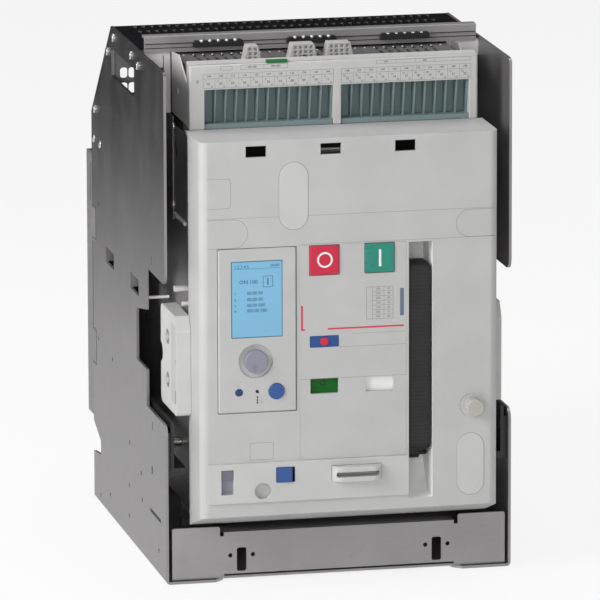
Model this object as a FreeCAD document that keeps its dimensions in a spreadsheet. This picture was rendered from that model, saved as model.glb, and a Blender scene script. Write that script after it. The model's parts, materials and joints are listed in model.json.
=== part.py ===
import FreeCAD
import Part
import Sketcher
import math
import os

# Draw-out air circuit breaker: a sheet-steel chassis and the withdrawable breaker inside it.
# X runs to the right, Y to the back and Z up. Sketches measure Y from the front edge of the side
# plates, and every piece is then placed so that the origin lies under the middle of the four
# fixing holes in the chassis feet.

SIZES = {
    # Chassis sheet metal
    "chassis_width": 322.0,
    "chassis_height": 473.0,
    "plate_gauge": 2.5,
    "plate_depth": 349.0,
    "plate_top_depth": 248.0,
    "plate_slope_foot": 375.0,
    "plate_corner": 6.0,
    "lower_lobe_top": 148.0,
    "upper_lobe_bottom": 278.0,
    "throat_depth": 87.0,
    "notch_depth": 134.0,
    "notch_bottom": 182.0,
    "notch_top": 230.0,
    "rear_notch_depth": 35.0,
    "rear_notch_bottom": 46.0,
    "rear_notch_top": 76.0,
    "tab_slot_depth": 15.0,
    "tab_slot_height": 33.0,
    "lower_tab_slot": 131.5,
    "upper_tab_slot": 250.5,
    "window_front": 137.0,
    "window_rear": 246.0,
    "window_bottom": 426.0,
    "window_top": 452.5,
    "hook_window_length": 40.0,
    "hook_window_height": 15.0,
    "hook_window_bottom": 243.0,
    "front_hook_window": 122.0,
    "rear_hook_window": 242.0,
    "foot_width": 54.0,
    "fixing_centre": 175.0,
    "fixing_span_across": 270.0,
    "fixing_span_deep": 200.0,
    "fixing_hole": 9.0,
    # Base tray and its front web
    "web_half_width": 155.3,
    "web_tab_height": 51.8,
    "web_height": 46.4,
    "web_tab_inner": 111.0,
    "web_relief": 3.6,
    "web_foot": 7.3,
    "web_slot_offset": 91.0,
    "web_slot_width": 9.0,
    "web_slot_bottom": 9.5,
    "web_slot_top": 31.5,
    "web_hole_offset": 10.5,
    "web_hole": 4.0,
    "tray_depth": 340.0,
    # Rear panel, insulating base and terminals
    "panel_back": 379.0,
    "panel_bottom": 81.0,
    "panel_top": 333.0,
    "base_front": 300.0,
    "base_bottom": 85.0,
    "base_top": 330.0,
    "pole_pitch": 85.0,
    "upper_terminal": 254.0,
    "lower_terminal": 150.0,
    "chamber_width": 64.0,
    "chamber_height": 36.0,
    "chamber_depth": 60.0,
    "blade_width": 54.0,
    "blade_thickness": 8.0,
    "blade_front": 302.0,
    "pad_width": 64.0,
    "pad_height": 36.0,
    "pad_thickness": 11.5,
    "pad_hole": 10.2,
    "pad_hole_span": 32.0,
    # Shutters
    "shutter_gauge": 3.0,
    "shutter_cover": 1.0,
    "shutter_travel": 52.0,
    "shutter_half_width": 124.7,
    "guide_wall": 5.0,
    "guide_lip": 5.7,
    "guide_gauge": 2.0,
    "guide_bottom": 76.0,
    "guide_top": 329.0,
    # Top of the chassis
    "rail_front": 116.0,
    "rail_top": 485.5,
    "rail_bottom": 470.0,
    "rail_half_width": 155.3,
    "rail_flange": 11.0,
    "rail_gauge": 2.0,
    "rail_groove": 1.0,
    "rail_groove_bottom": 475.3,
    "rail_groove_top": 478.3,
    "mesh_gauge": 1.5,
    "mesh_top": 472.5,
    "mesh_back": 249.0,
    "mesh_flange": 15.5,
    "mesh_slot_length": 15.0,
    "mesh_slot_width": 4.0,
    "mesh_pitch_across": 7.96,
    "mesh_pitch_deep": 24.5,
    "mesh_columns": 36.0,
    "mesh_rows": 5.0,
    "mesh_last_row": 236.5,
    "comb_span": 87.3,
    "comb_width": 46.0,
    "comb_depth": 5.0,
    "comb_bottom": 474.3,
    "comb_body": 4.0,
    "comb_tooth": 5.4,
    "comb_rise": 2.2,
    "comb_pitch": 7.85,
    "bracket_bottom": 414.0,
    "bracket_shelf": 456.0,
    "bracket_inner": 130.8,
    "bracket_leg": 6.0,
    "bracket_slit": 0.9,
    "bracket_slit_top": 467.0,
    # Draw-out rails
    "rail_bed": 101.0,
    "slide_gauge": 3.0,
    "fixed_rail_height": 39.0,
    "fixed_rail_flange": 16.5,
    "slide_height": 46.0,
    "slide_flange": 14.2,
    "slide_front": 5.0,
    "slide_back": 290.0,
    # Racking screw
    "screw_offset": 80.9,
    "screw_level": 94.5,
    "screw_radius": 6.0,
    "screw_front": 38.0,
    "screw_collar": 9.5,
    "screw_socket": 7.0,
    "racking_travel": 60.0,
    "nut_front": 200.0,
    "nut_depth": 16.0,
    "nut_half_width": 13.0,
    "nut_wall": 6.5,
    # Breaker body
    "side_plate_face": 128.8,
    "side_plate_gauge": 2.5,
    "side_plate_shoulder": 405.0,
    "side_plate_shoulder_depth": 57.0,
    "side_plate_slope_depth": 180.0,
    "side_plate_flange": 11.0,
    "side_plate_bottom": 60.0,
    "side_plate_back": 270.0,
    "case_front": 58.0,
    "case_back": 240.0,
    "case_bottom": 112.0,
    "case_top": 452.0,
    "case_wall": 5.0,
    "case_floor": 5.0,
    "chamber_half": 37.0,
    "rear_cover_gauge": 10.0,
    "rear_cover_back": 281.0,
    "rear_cover_top": 305.0,
    "transformer_half_width": 38.0,
    "transformer_half_height": 28.0,
    "transformer_depth": 26.0,
    # Contacts and conductors
    "shaft_depth": 110.0,
    "shaft_level": 165.0,
    "shaft_radius": 8.0,
    "arm_reach": 102.0,
    "arm_width": 48.0,
    "arm_thickness": 12.0,
    "arm_hub": 12.0,
    "contact_pad": 5.0,
    "contact_pad_height": 16.0,
    "contact_swing": 20.0,
    "fixed_contact_depth": 12.0,
    "shaft_half_length": 126.0,
    "lower_conductor_front": 132.0,
    "conductor_width": 56.0,
    "conductor_back": 295.0,
    "jaw_front": 283.0,
    "jaw_back": 320.0,
    "jaw_thickness": 7.0,
    "jaw_fingers": 5.0,
    "jaw_slot": 1.6,
    # Arc chutes
    "chute_cap_half": 42.2,
    "chute_cap_height": 8.0,
    "chute_cap_front": 58.0,
    "chute_front": 64.0,
    "chute_back": 178.0,
    "chute_bottom": 285.0,
    "chute_top": 468.0,
    "chute_wall": 2.5,
    "chute_slot_width": 3.4,
    "chute_slot_length": 20.0,
    "chute_slot_across": 8.5,
    "chute_slot_deep": 25.0,
    "splitter_gauge": 2.0,
    "splitter_pitch": 13.0,
    # Front cover
    "cover_half_width": 137.5,
    "cover_front": 45.0,
    "cover_back": 8.0,
    "cover_top": 416.0,
    "cover_bottom": 71.5,
    "skirt_bottom": 53.2,
    "cover_wall": 3.0,
    "cover_corner": 8.0,
    # Handle trough in the cover
    "trough_left": 54.6,
    "trough_right": 76.6,
    "trough_top": 317.4,
    "trough_bottom": 80.5,
    "trough_depth": 37.5,
    "scoop_radius": 36.5,
    "trough_wall": 2.3,
    # Fascia between the protection unit and the trough
    "fascia_left": 46.0,
    "fascia_gauge": 3.0,
    "fascia_bottom": 121.0,
    "fascia_top": 318.2,
    "seam": 0.15,
    "lip": 1.2,
    "lip_gauge": 1.6,
    # Protection unit
    "unit_left": 121.3,
    "unit_right": 49.5,
    "unit_bottom": 167.5,
    "unit_top": 318.0,
    "unit_front": 46.0,
    "unit_back": 20.0,
    "screen_left": 109.2,
    "screen_right": 62.0,
    "screen_bottom": 236.3,
    "screen_top": 306.7,
    "screen_depth": 1.5,
    "knob_x": 87.0,
    "knob_z": 214.6,
    "knob_skirt": 15.6,
    "knob_height": 6.5,
    "knob_cap": 10.7,
    "small_button_x": 102.4,
    "small_button_z": 186.4,
    "small_button_radius": 2.9,
    "reset_x": 67.9,
    "reset_z": 186.2,
    "reset_radius": 7.4,
    # Push-buttons and indicator windows on the fascia
    "off_x": 23.45,
    "on_x": 27.45,
    "button_z": 304.4,
    "button_size": 26.6,
    "control_corner": 2.0,
    "button_proud": 1.5,
    "button_clearance": 0.3,
    "flag_window_bottom": 181.5,
    "flag_window_height": 14.2,
    "contact_window_x": 23.5,
    "charge_window_x": 27.5,
    "flag_window_width": 26.0,
    "flag_gauge": 1.5,
    "flag_travel": 15.5,
    "trip_window_bottom": 224.2,
    "trip_window_height": 10.8,
    "trip_button_radius": 3.8,
    # Charging handle
    "handle_left": 55.3,
    "handle_right": 74.8,
    "handle_bottom": 121.0,
    "handle_top": 297.4,
    "handle_front": 43.6,
    "handle_back": 19.5,
    "handle_pivot_depth": 20.0,
    "handle_pivot_level": 118.0,
    "handle_hub": 6.0,
    "handle_pin": 2.0,
    # Lower panel and its controls
    "lower_left": 131.6,
    "lower_right": 54.3,
    "lower_bottom": 84.0,
    "lower_top": 120.8,
    "lower_proud": 2.0,
    "crank_hole_radius": 7.5,
    "position_window_left": 119.1,
    "position_window_width": 11.4,
    "position_window_bottom": 92.4,
    "position_window_height": 22.8,
    "slider_left": 68.3,
    "slider_width": 13.8,
    "slider_travel": 3.0,
    "slider_bottom": 102.0,
    "slider_height": 13.4,
    "padlock_left": 17.4,
    "padlock_width": 46.4,
    "padlock_bottom": 100.7,
    "padlock_height": 14.2,
    # Round release plunger and blanks
    "plunger_x": 113.8,
    "plunger_z": 163.6,
    "plunger_radius": 8.0,
    "plunger_proud": 13.0,
    "collar_radius": 11.0,
    "collar_height": 1.2,
    "blank_width": 24.8,
    "blank_height": 57.4,
    "blank_x": 112.0,
    "blank_z": 109.4,
    "upper_blank_width": 26.4,
    "upper_blank_height": 61.6,
    "upper_blank_x": 51.4,
    "upper_blank_z": 364.4,
    "sight_width": 19.0,
    "sight_height": 10.2,
    "sight_bottom": 401.0,
    "sight_pitch": 68.6,
    "sight_first": 85.8,
    # Terminal housing on top of the cover
    "housing_half_width": 133.4,
    "housing_front": 18.0,
    "housing_back": 32.0,
    "housing_top": 477.0,
    "housing_brow": 474.5,
    "housing_window_width": 118.8,
    "housing_window_left": 119.5,
    "housing_window_right": 6.4,
    "housing_window_top": 452.0,
    "housing_window_depth": 24.0,
    "fin_gauge": 1.4,
    "fin_count": 12.0,
    # Lifting grips on the breaker's sides
    "grip_outer": 151.0,
    "grip_inner": 137.8,
    "grip_front": 3.0,
    "grip_back": 69.0,
    "grip_bottom": 157.0,
    "grip_top": 248.5,
    "grip_corner": 7.0,
    # Mechanism behind the fascia
    "frame_left": 46.5,
    "frame_right": 48.5,
    "frame_gauge": 2.5,
    "frame_front": 36.4,
    "frame_back": 57.7,
    "frame_bottom": 124.0,
    "frame_top": 395.0,
    "cam_depth": 15.0,
    "cam_level": 150.0,
    "cam_shaft_radius": 5.0,
    "ratchet_radius": 20.0,
    "ratchet_tooth": 2.5,
    "ratchet_teeth": 18.0,
    # Punched holes, bends and rivets of the chassis
    "lobe_radius": 10.0,
    "bend_radius": 4.0,
    "throat_rise": 8.0,
    "notch_rise": 13.0,
    "notch_drop": 4.0,
    "foot_chamfer": 8.0,
    "hook_reach": 8.0,
    "hook_trim": 0.7,
    "plate_hole": 2.2,
    "plate_slot": 2.4,
    "slot_length": 8.0,
    "front_slot_depth": 61.0,
    "upper_slot_level": 288.5,
    "lower_slot_level": 134.6,
    "rivet_radius": 4.0,
    "rivet_height": 2.7,
    "tie_slot_gap": 6.0,
    "tie_slot": 4.0,
    "tie_slot_bottom": 287.0,
    "tie_slot_top": 324.0,
    "pad_margin": 1.0,
    "fixed_rail_front": 6.0,
    "slide_hole": 12.0,
    "roller_radius": 8.0,
    "roller_width": 10.0,
    "roller_axle": 4.0,
    "front_roller": 75.0,
    "rear_roller": 235.0,
    # Small features of the cover and its controls
    "post_inset": 0.3,
    "post_radius": 4.0,
    "lower_post": 145.0,
    "upper_post": 395.0,
    "sleeve_length": 10.0,
    "sleeve_wall": 2.0,
    "flap_reach": 25.0,
    "flap_boss": 3.0,
    "flap_pin": 2.0,
    "flap_gauge": 1.5,
    "flap_overlap": 1.8,
    "flap_arm": 2.6,
    "blank_proud": 0.3,
    "flag_gap": 0.6,
    "flag_overlap": 0.8,
    "rib_gauge": 2.0,
    "rib_depth": 1.0,
    "trip_x": 23.5,
    "trip_window_width": 27.0,
    "button_length": 9.0,
    "button_crown": 0.6,
    "stem_length": 11.0,
    "plunger_length": 28.0,
    "knob_recess": 2.5,
    "knob_stem": 3.0,
    "knob_dimple": 0.8,
    "port_radius": 1.4,
    "screen_set": 0.3,
    "handle_wall": 2.2,
    "rib_pitch": 3.5,
    "rib_groove": 0.9,
    "handle_corner": 8.0,
    "pocket_wall": 2.0,
    "pocket_depth": 2.5,
    "pointer_proud": 1.0,
    "pointer_height": 8.3,
    "slider_flange": 1.5,
    "slider_proud": 1.5,
    "padlock_proud": 8.5,
    "padlock_length": 33.5,
    "padlock_grip": 12.0,
    "padlock_end": 3.0,
    "padlock_throat": 4.8,
    "padlock_lip": 4.1,
    "padlock_bow": 9.0,
    "padlock_hole": 7.0,
    "padlock_hole_radius": 4.0,
    "beam_depth": 40.0,
    "beam_flange": 14.0,
    "housing_edge": 2.0,
    "ledge_set": 1.5,
    "ledge_depth": 8.0,
    "ledge_height": 4.5,
    "fin_top_set": 2.5,
    "fin_foot_set": 9.0,
    "plug_depth": 14.0,
    "plug_top": 483.5,
    "plug_taper": 3.4,
    "plug_pocket": 2.6,
    "plug_pitch": 4.9,
    "plug_rise": 4.2,
    "narrow_plug_left": 75.0,
    "narrow_plug_width": 17.1,
    "middle_plug_left": 33.3,
    "right_plug_left": 0.2,
    "wide_plug_width": 27.2,
    "grip_notch": 9.0,
    "grip_groove": 5.0,
    "grip_groove_set": 10.0,
    "grip_groove_depth": 4.0,
    "grip_screw_depth": 36.0,
    "grip_screw_low": 26.0,
    "grip_screw_high": 66.0,
    "grip_screw_radius": 4.2,
    "screw_head": 1.6,
    "frame_cut": 12.0,
    "spacer_inset": 10.0,
    "spacer_radius": 4.0,
    "spring_depth": 24.0,
    "spring_bottom": 200.0,
    "spring_top": 320.0,
    "spring_offset": 22.0,
    "spring_radius": 13.0,
    "spring_wire": 3.0,
    "crank_offset": 34.0,
    "crank_gauge": 4.0,
    "crank_reach": 20.0,
    "ratchet_gap": 0.4,
    "ratchet_gauge": 2.8,
    # Clearances
    "running_fit": 0.05,
    "seat_gap": 0.3,
}

# Round holes in each side plate and rivets on it: depth from the front edge, and level.
PLATE_HOLES = {
    "toe_hole": (34.3, 24.1),
    "front_hole": (112.0, 53.3),
    "middle_hole": (174.2, 52.8),
    "front_low_hole": (175.4, 23.3),
    "rear_low_hole": (267.4, 21.8),
    "heel_hole": (316.0, 9.9),
    "front_high_hole": (116.0, 77.8),
    "middle_high_hole": (170.7, 94.3),
    "rear_high_hole": (252.5, 155.5),
    "upper_dot_hole": (318.0, 291.0),
    "lower_dot_hole": (320.6, 161.0),
}
RIVETS = {
    "rear_top_rivet": (231.3, 464.9),
    "rear_rivet": (260.0, 447.3),
    "middle_top_rivet": (145.9, 463.5),
    "front_top_rivet": (114.8, 459.4),
    "slope_rivet": (326.0, 380.9),
}

document = FreeCAD.newDocument("draw_out_breaker")
for places in (PLATE_HOLES, RIVETS):
    for name, (depth, level) in places.items():
        SIZES[name + "_depth"] = depth
        SIZES[name + "_level"] = level
sheet = document.addObject("Spreadsheet::Sheet", "Sizes")
for row, (alias, number) in enumerate(SIZES.items(), 1):
    sheet.set(f"A{row}", alias)
    sheet.set(f"B{row}", str(number))
    sheet.setAlias(f"B{row}", alias)
document.recompute()


class Size:
    """A length that keeps the sheet formula behind its value."""

    def __init__(self, value, formula):
        self.value = value
        self.formula = formula

    @staticmethod
    def of(thing):
        if isinstance(thing, Size):
            return thing
        return Size(float(thing), f"({thing})")

    def joined(self, other, sign, value):
        return Size(value, f"({self.formula} {sign} {other.formula})")

    def __add__(self, other):
        other = Size.of(other)
        return self.joined(other, "+", self.value + other.value)

    def __radd__(self, other):
        return Size.of(other) + self

    def __sub__(self, other):
        other = Size.of(other)
        return self.joined(other, "-", self.value - other.value)

    def __rsub__(self, other):
        return Size.of(other) - self

    def __mul__(self, other):
        other = Size.of(other)
        return self.joined(other, "*", self.value * other.value)

    def __rmul__(self, other):
        return Size.of(other) * self

    def __truediv__(self, other):
        other = Size.of(other)
        return self.joined(other, "/", self.value / other.value)

    def __neg__(self):
        return Size(-self.value, f"(-{self.formula})")

    def cosine(self):
        return Size(math.cos(math.radians(self.value)), f"cos({self.formula})")

    def sine(self):
        return Size(math.sin(math.radians(self.value)), f"sin({self.formula})")


class Sheet:
    """The sheet's cells by name, as sizes."""

    def __getattr__(self, alias):
        return Size(float(sheet.get(alias)), f"Sizes.{alias}")


S = Sheet()


def bind(thing, field, size):
    thing.setExpression(field, Size.of(size).formula)


class Draft:
    """Geometry and constraints of a sketch, gathered before they go into it together."""

    def __init__(self):
        self.geometry = []
        self.construction = []
        self.constraints = []
        self.bindings = []

    def add(self, geometry, construction=False):
        self.geometry.append(geometry)
        if construction:
            self.construction.append(len(self.geometry) - 1)
        return len(self.geometry) - 1

    def hold(self, *constraint):
        self.constraints.append(Sketcher.Constraint(*constraint))

    def measure(self, *constraint, size):
        """A dimension that follows a size."""
        self.bindings.append((len(self.constraints), size))
        self.hold(*constraint, size.value)

    def place(self, geometry, point, x, y):
        self.measure("DistanceX", -1, 1, geometry, point, size=x)
        self.measure("DistanceY", -1, 1, geometry, point, size=y)

    def put_into(self, sketch):
        sketch.addGeometry(self.geometry)
        for index in self.construction:
            sketch.toggleConstruction(index)
        sketch.addConstraint(self.constraints)
        for index, size in self.bindings:
            bind(sketch, f"Constraints[{index}]", size)


# Shapes that a sketch can hold. Each is a function that draws itself in the draft it is given.
UP = FreeCAD.Vector(0, 0, 1)


def outline(*corners):
    """A closed outline of (x, y) corners; a third value rounds that corner to a radius."""
    corners = [tuple(Size.of(part) for part in corner) for corner in corners]

    def draw(draft):
        count = len(corners)
        places = [FreeCAD.Vector(corner[0].value, corner[1].value, 0) for corner in corners]
        trims = []
        for i, corner in enumerate(corners):
            back = (places[i - 1] - places[i]).normalize()
            ahead = (places[(i + 1) % count] - places[i]).normalize()
            if len(corner) == 2:
                trims.append((places[i], places[i], None))
                continue
            half = back.getAngle(ahead) / 2
            reach = corner[2].value / math.tan(half)
            middle = (back + ahead).normalize() * (corner[2].value / math.sin(half))
            trims.append((places[i] + back * reach, places[i] + ahead * reach, places[i] + middle))
        lines = []
        for i in range(count):
            lines.append(draft.add(Part.LineSegment(trims[i][1], trims[(i + 1) % count][0])))
        for i, corner in enumerate(corners):
            before, after = lines[i - 1], lines[i]
            arrive, leave, centre = trims[i]
            if centre is None:
                draft.hold("Coincident", before, 2, after, 1)
                draft.place(after, 1, corner[0], corner[1])
                continue
            turn = (places[i] - places[i - 1]).cross(places[(i + 1) % count] - places[i]).z
            first, last = (arrive, leave) if turn > 0 else (leave, arrive)
            start = math.atan2(first.y - centre.y, first.x - centre.x)
            end = math.atan2(last.y - centre.y, last.x - centre.x)
            ring = Part.Circle(centre, UP, corner[2].value)
            arc = draft.add(Part.ArcOfCircle(ring, start, end))
            entry, leaving = (1, 2) if turn > 0 else (2, 1)
            draft.hold("Tangent", before, 2, arc, entry)
            draft.hold("Tangent", arc, leaving, after, 1)
            draft.measure("Radius", arc, size=corner[2])
            mark = draft.add(Part.Point(places[i]), construction=True)
            draft.place(mark, 1, corner[0], corner[1])
            draft.hold("PointOnObject", mark, 1, before)
            draft.hold("PointOnObject", mark, 1, after)

    return draw


def rectangle(x0, x1, y0, y1, radius=None):
    extra = () if radius is None else (radius,)
    return outline((x0, y0, *extra), (x1, y0, *extra), (x1, y1, *extra), (x0, y1, *extra))


def circle(x, y, radius):
    x, y, radius = Size.of(x), Size.of(y), Size.of(radius)

    def draw(draft):
        ring = draft.add(Part.Circle(FreeCAD.Vector(x.value, y.value, 0), UP, radius.value))
        draft.place(ring, 3, x, y)
        draft.measure("Radius", ring, size=radius)

    return draw


def stadium(x, y, width, height):
    """An upright slot with round ends, about its middle."""
    x, y, width, height = Size.of(x), Size.of(y), Size.of(width), Size.of(height)
    radius = width / 2
    rise = (height - width) / 2

    def draw(draft):
        top = FreeCAD.Vector(x.value, y.value + rise.value, 0)
        bottom = FreeCAD.Vector(x.value, y.value - rise.value, 0)
        side = FreeCAD.Vector(radius.value, 0, 0)
        cap = draft.add(Part.ArcOfCircle(Part.Circle(top, UP, radius.value), 0, math.pi))
        left = draft.add(Part.LineSegment(top - side, bottom - side))
        foot = draft.add(Part.ArcOfCircle(
            Part.Circle(bottom, UP, radius.value), math.pi, 2 * math.pi))
        right = draft.add(Part.LineSegment(bottom + side, top + side))
        for first, second in ((cap, left), (left, foot), (foot, right), (right, cap)):
            draft.hold("Tangent", first, 2, second, 1)
        draft.place(cap, 3, x, y + rise)
        draft.place(foot, 3, x, y - rise)
        draft.measure("Radius", cap, size=radius)

    return draw


# Which way each sketch plane faces: 1 where its normal runs along the positive axis.
PLANES = {"XY": 1, "XZ": -1, "YZ": 1}


class Piece:
    """One sub-part: a body grown from sketches on its own origin planes."""

    made = []

    def __init__(self, name):
        self.body = document.addObject("PartDesign::Body", name)
        self.body.Label = name
        self.body.AllowCompound = True
        bind(self.body, "Placement.Base.y", -S.fixing_centre)
        Piece.made.append(self.body)

    def sketch(self, plane, start, shapes):
        sketch = self.body.newObject("Sketcher::SketchObject", self.body.Name + "_sketch")
        roles = {feature.Role: feature for feature in self.body.Origin.OriginFeatures}
        sketch.AttachmentSupport = [(roles[plane + "_Plane"], "")]
        sketch.MapMode = "FlatFace"
        bind(sketch, "AttachmentOffset.Base.z", Size.of(start) * PLANES[plane])
        draft = Draft()
        for shape in shapes:
            shape(draft)
        draft.put_into(sketch)
        return sketch

    def feature(self, kind, name, sketch, length, reverse):
        feature = self.body.newObject("PartDesign::" + kind, self.body.Name + name)
        feature.Profile = sketch
        feature.Reversed = reverse
        bind(feature, "Length", length)
        return feature

    def pad(self, plane, start, end, *shapes):
        """Material from start to end along the axis square to the plane."""
        sketch = self.sketch(plane, start, shapes)
        length = Size.of(end) - Size.of(start)
        return self.feature("Pad", "_pad", sketch, length, PLANES[plane] < 0)

    def cut(self, plane, start, end, *shapes):
        """Material taken away from start to end along the axis square to the plane."""
        sketch = self.sketch(plane, start, shapes)
        document.recompute()
        before = self.body.Shape.Volume
        length = Size.of(end) - Size.of(start)
        pocket = self.feature("Pocket", "_cut", sketch, length, PLANES[plane] > 0)
        document.recompute()
        if self.body.Shape.Volume >= before:
            raise ValueError(f"{self.body.Label}: a cut took nothing away")
        return pocket

    def row(self, feature, axis, count, step):
        """A linear pattern of a feature along an axis of its sketch; it can run backwards."""
        pattern = self.body.newObject("PartDesign::LinearPattern", self.body.Name + "_row")
        pattern.Direction = (feature.Profile[0], [axis])
        pattern.Mode = "Spacing"
        pattern.Occurrences = count
        pattern.Reversed = Size.of(step).value < 0
        bind(pattern, "Offset", step if Size.of(step).value > 0 else -Size.of(step))
        return pattern

    def repeat(self, feature, axis, count, step):
        """Equal copies of a feature, a step apart."""
        pattern = self.row(feature, axis, count, step)
        pattern.Originals = [feature]
        self.body.Tip = pattern

    def grid(self, feature, across, along):
        """Equal copies in rows; across and along are each (axis, count, step)."""
        grid = self.body.newObject("PartDesign::MultiTransform", self.body.Name + "_grid")
        grid.Originals = [feature]
        grid.Transformations = [self.row(feature, *across), self.row(feature, *along)]
        self.body.Tip = grid

    def soften(self, kind, size, picks):
        """Fillet or Chamfer on the edges that picks accepts."""
        document.recompute()
        tip = self.body.Tip
        names = [f"Edge{i}" for i, edge in enumerate(tip.Shape.Edges, 1) if picks(edge)]
        if not names:
            raise ValueError(f"{self.body.Label}: no edge to soften")
        feature = self.body.newObject("PartDesign::" + kind, self.body.Name + "_" + kind.lower())
        feature.Base = (tip, names)
        bind(feature, "Radius" if kind == "Fillet" else "Size", size)
        return feature


def runs_along(edge, axis, *places):
    """True where a straight edge runs along an axis and passes the given (axis, value) places."""
    if not isinstance(edge.Curve, Part.Line):
        return False
    low, high = edge.Vertexes[0].Point, edge.Vertexes[-1].Point
    if abs(getattr(high - low, axis)) < 0.99 * (high - low).Length:
        return False
    return all(abs(getattr(low, name) - Size.of(place).value) < 0.01 for name, place in places)


half_width = S.chassis_width / 2
inner_face = half_width - S.plate_gauge
poles = (-S.pole_pitch, Size.of(0), S.pole_pitch)
levels = (S.lower_terminal, S.upper_terminal)


def span(side, near, far):
    """The range from near to far of the middle, on the left (-1) or right (1) side."""
    near, far = Size.of(near), Size.of(far)
    return (near, far) if side > 0 else (-far, -near)


def side_plate(side, name):
    """Chassis side: a blanked plate with its foot bent inwards along the bottom."""
    plate = Piece(name)
    skin = span(side, inner_face, half_width)
    slot_back = S.plate_depth - S.tab_slot_depth
    lower_slot_top = S.lower_tab_slot + S.tab_slot_height
    upper_slot_top = S.upper_tab_slot + S.tab_slot_height
    relief = S.plate_depth - S.rear_notch_depth
    plate.pad("YZ", *skin, outline(
        (0, 0), (0, S.lower_lobe_top, S.lobe_radius), (S.throat_depth, S.lower_lobe_top),
        (S.throat_depth, S.notch_bottom), (S.notch_depth, S.notch_bottom),
        (S.notch_depth, S.notch_top), (S.throat_depth, S.notch_top + S.throat_rise),
        (S.throat_depth, S.upper_lobe_bottom), (0, S.upper_lobe_bottom, S.lobe_radius),
        (0, S.chassis_height, S.plate_corner), (S.plate_top_depth, S.chassis_height),
        (S.plate_depth, S.plate_slope_foot),
        (S.plate_depth, upper_slot_top), (slot_back, upper_slot_top),
        (slot_back, S.upper_tab_slot), (S.plate_depth, S.upper_tab_slot),
        (S.plate_depth, lower_slot_top), (slot_back, lower_slot_top),
        (slot_back, S.lower_tab_slot), (S.plate_depth, S.lower_tab_slot),
        (S.plate_depth, S.rear_notch_top), (relief, S.rear_notch_top - S.notch_rise),
        (relief, S.rear_notch_bottom + S.notch_drop), (S.plate_depth, S.rear_notch_bottom),
        (S.plate_depth, 0),
    ))
    foot = half_width - S.foot_width
    inward = half_width - S.foot_width + S.foot_chamfer
    edge = S.plate_depth - S.plate_corner
    plate.pad("XY", 0, S.plate_gauge, outline(
        (half_width * side, 0), (inward * side, 0), (foot * side, S.foot_chamfer),
        (foot * side, edge), (half_width * side, edge),
    ))
    plate.soften("Fillet", S.bend_radius, lambda rim: runs_along(
        rim, "y", ("x", half_width * side), ("z", 0)))
    openings = [rectangle(S.window_front, S.window_rear, S.window_bottom, S.window_top,
                          S.plate_gauge)]
    for front in (S.front_hook_window, S.rear_hook_window):
        back = front + S.hook_window_length
        top = S.hook_window_bottom + S.hook_window_height
        openings.append(rectangle(front, back, S.hook_window_bottom, top))
    for depth, level in plate_holes():
        openings.append(circle(depth, level, S.plate_hole))
    openings.append(stadium(S.front_slot_depth, S.upper_slot_level, S.plate_slot, S.slot_length))
    openings.append(stadium(S.front_slot_depth, S.lower_slot_level, S.plate_slot, S.slot_length))
    plate.cut("YZ", *skin, *openings)
    for front in (S.front_hook_window, S.rear_hook_window):
        back = front + S.hook_window_length
        hook = span(side, inner_face - S.hook_reach, inner_face + S.plate_gauge / 2)
        plate.pad("XZ", back, back + S.plate_gauge, rectangle(
            *hook, S.hook_window_bottom + S.hook_trim,
            S.hook_window_bottom + S.hook_window_height - S.hook_trim))
    plate.cut("XY", 0, S.plate_gauge, *fixing_holes(side))


def plate_holes():
    """Depth and level of the round holes punched in each side plate."""
    return [(getattr(S, name + "_depth"), getattr(S, name + "_level")) for name in PLATE_HOLES]


def fixing_holes(*sides):
    holes = []
    for side in sides:
        for end in (-1, 1):
            depth = S.fixing_centre + S.fixing_span_deep / 2 * end
            holes.append(circle(S.fixing_span_across / 2 * side, depth, S.fixing_hole / 2))
    return holes


def base_tray():
    """Floor sheet that ties the feet, with its front edge turned up into a web."""
    tray = Piece("base_tray")
    floor = S.plate_gauge
    top = floor + S.plate_gauge
    tray.pad("XY", floor, top, rectangle(-S.web_half_width, S.web_half_width, 0, S.tray_depth))
    relief = S.web_tab_inner - S.web_relief
    notch = S.web_height - S.web_relief
    corners = []
    for side in (-1, 1):
        half = [
            (S.web_half_width * side, floor), (S.web_half_width * side, S.web_tab_height, 2),
            (S.web_tab_inner * side, S.web_tab_height, 2),
            (S.web_tab_inner * side, notch), (relief * side, notch),
            (relief * side, S.web_height),
        ]
        corners += half if side < 0 else half[::-1]
    tray.pad("XZ", 0, S.plate_gauge, outline(*corners))
    tray.soften("Fillet", S.bend_radius, lambda rim: runs_along(rim, "x", ("y", 0), ("z", floor)))
    holes = []
    for side in (-1, 1):
        middle = S.web_slot_offset * side
        holes.append(rectangle(middle - S.web_slot_width / 2, middle + S.web_slot_width / 2,
                               S.web_slot_bottom, S.web_slot_top, 2))
        for end in (-1, 1):
            level = (S.web_slot_bottom + S.web_slot_top) / 2 + S.web_hole
            holes.append(circle(middle + S.web_hole_offset * end, level, S.web_hole / 2))
    foot = rectangle(-relief, relief, floor, S.web_foot)
    tray.cut("XZ", 0, S.plate_gauge, foot, *holes)
    tray.cut("XY", floor, top, *fixing_holes(-1, 1))


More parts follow.
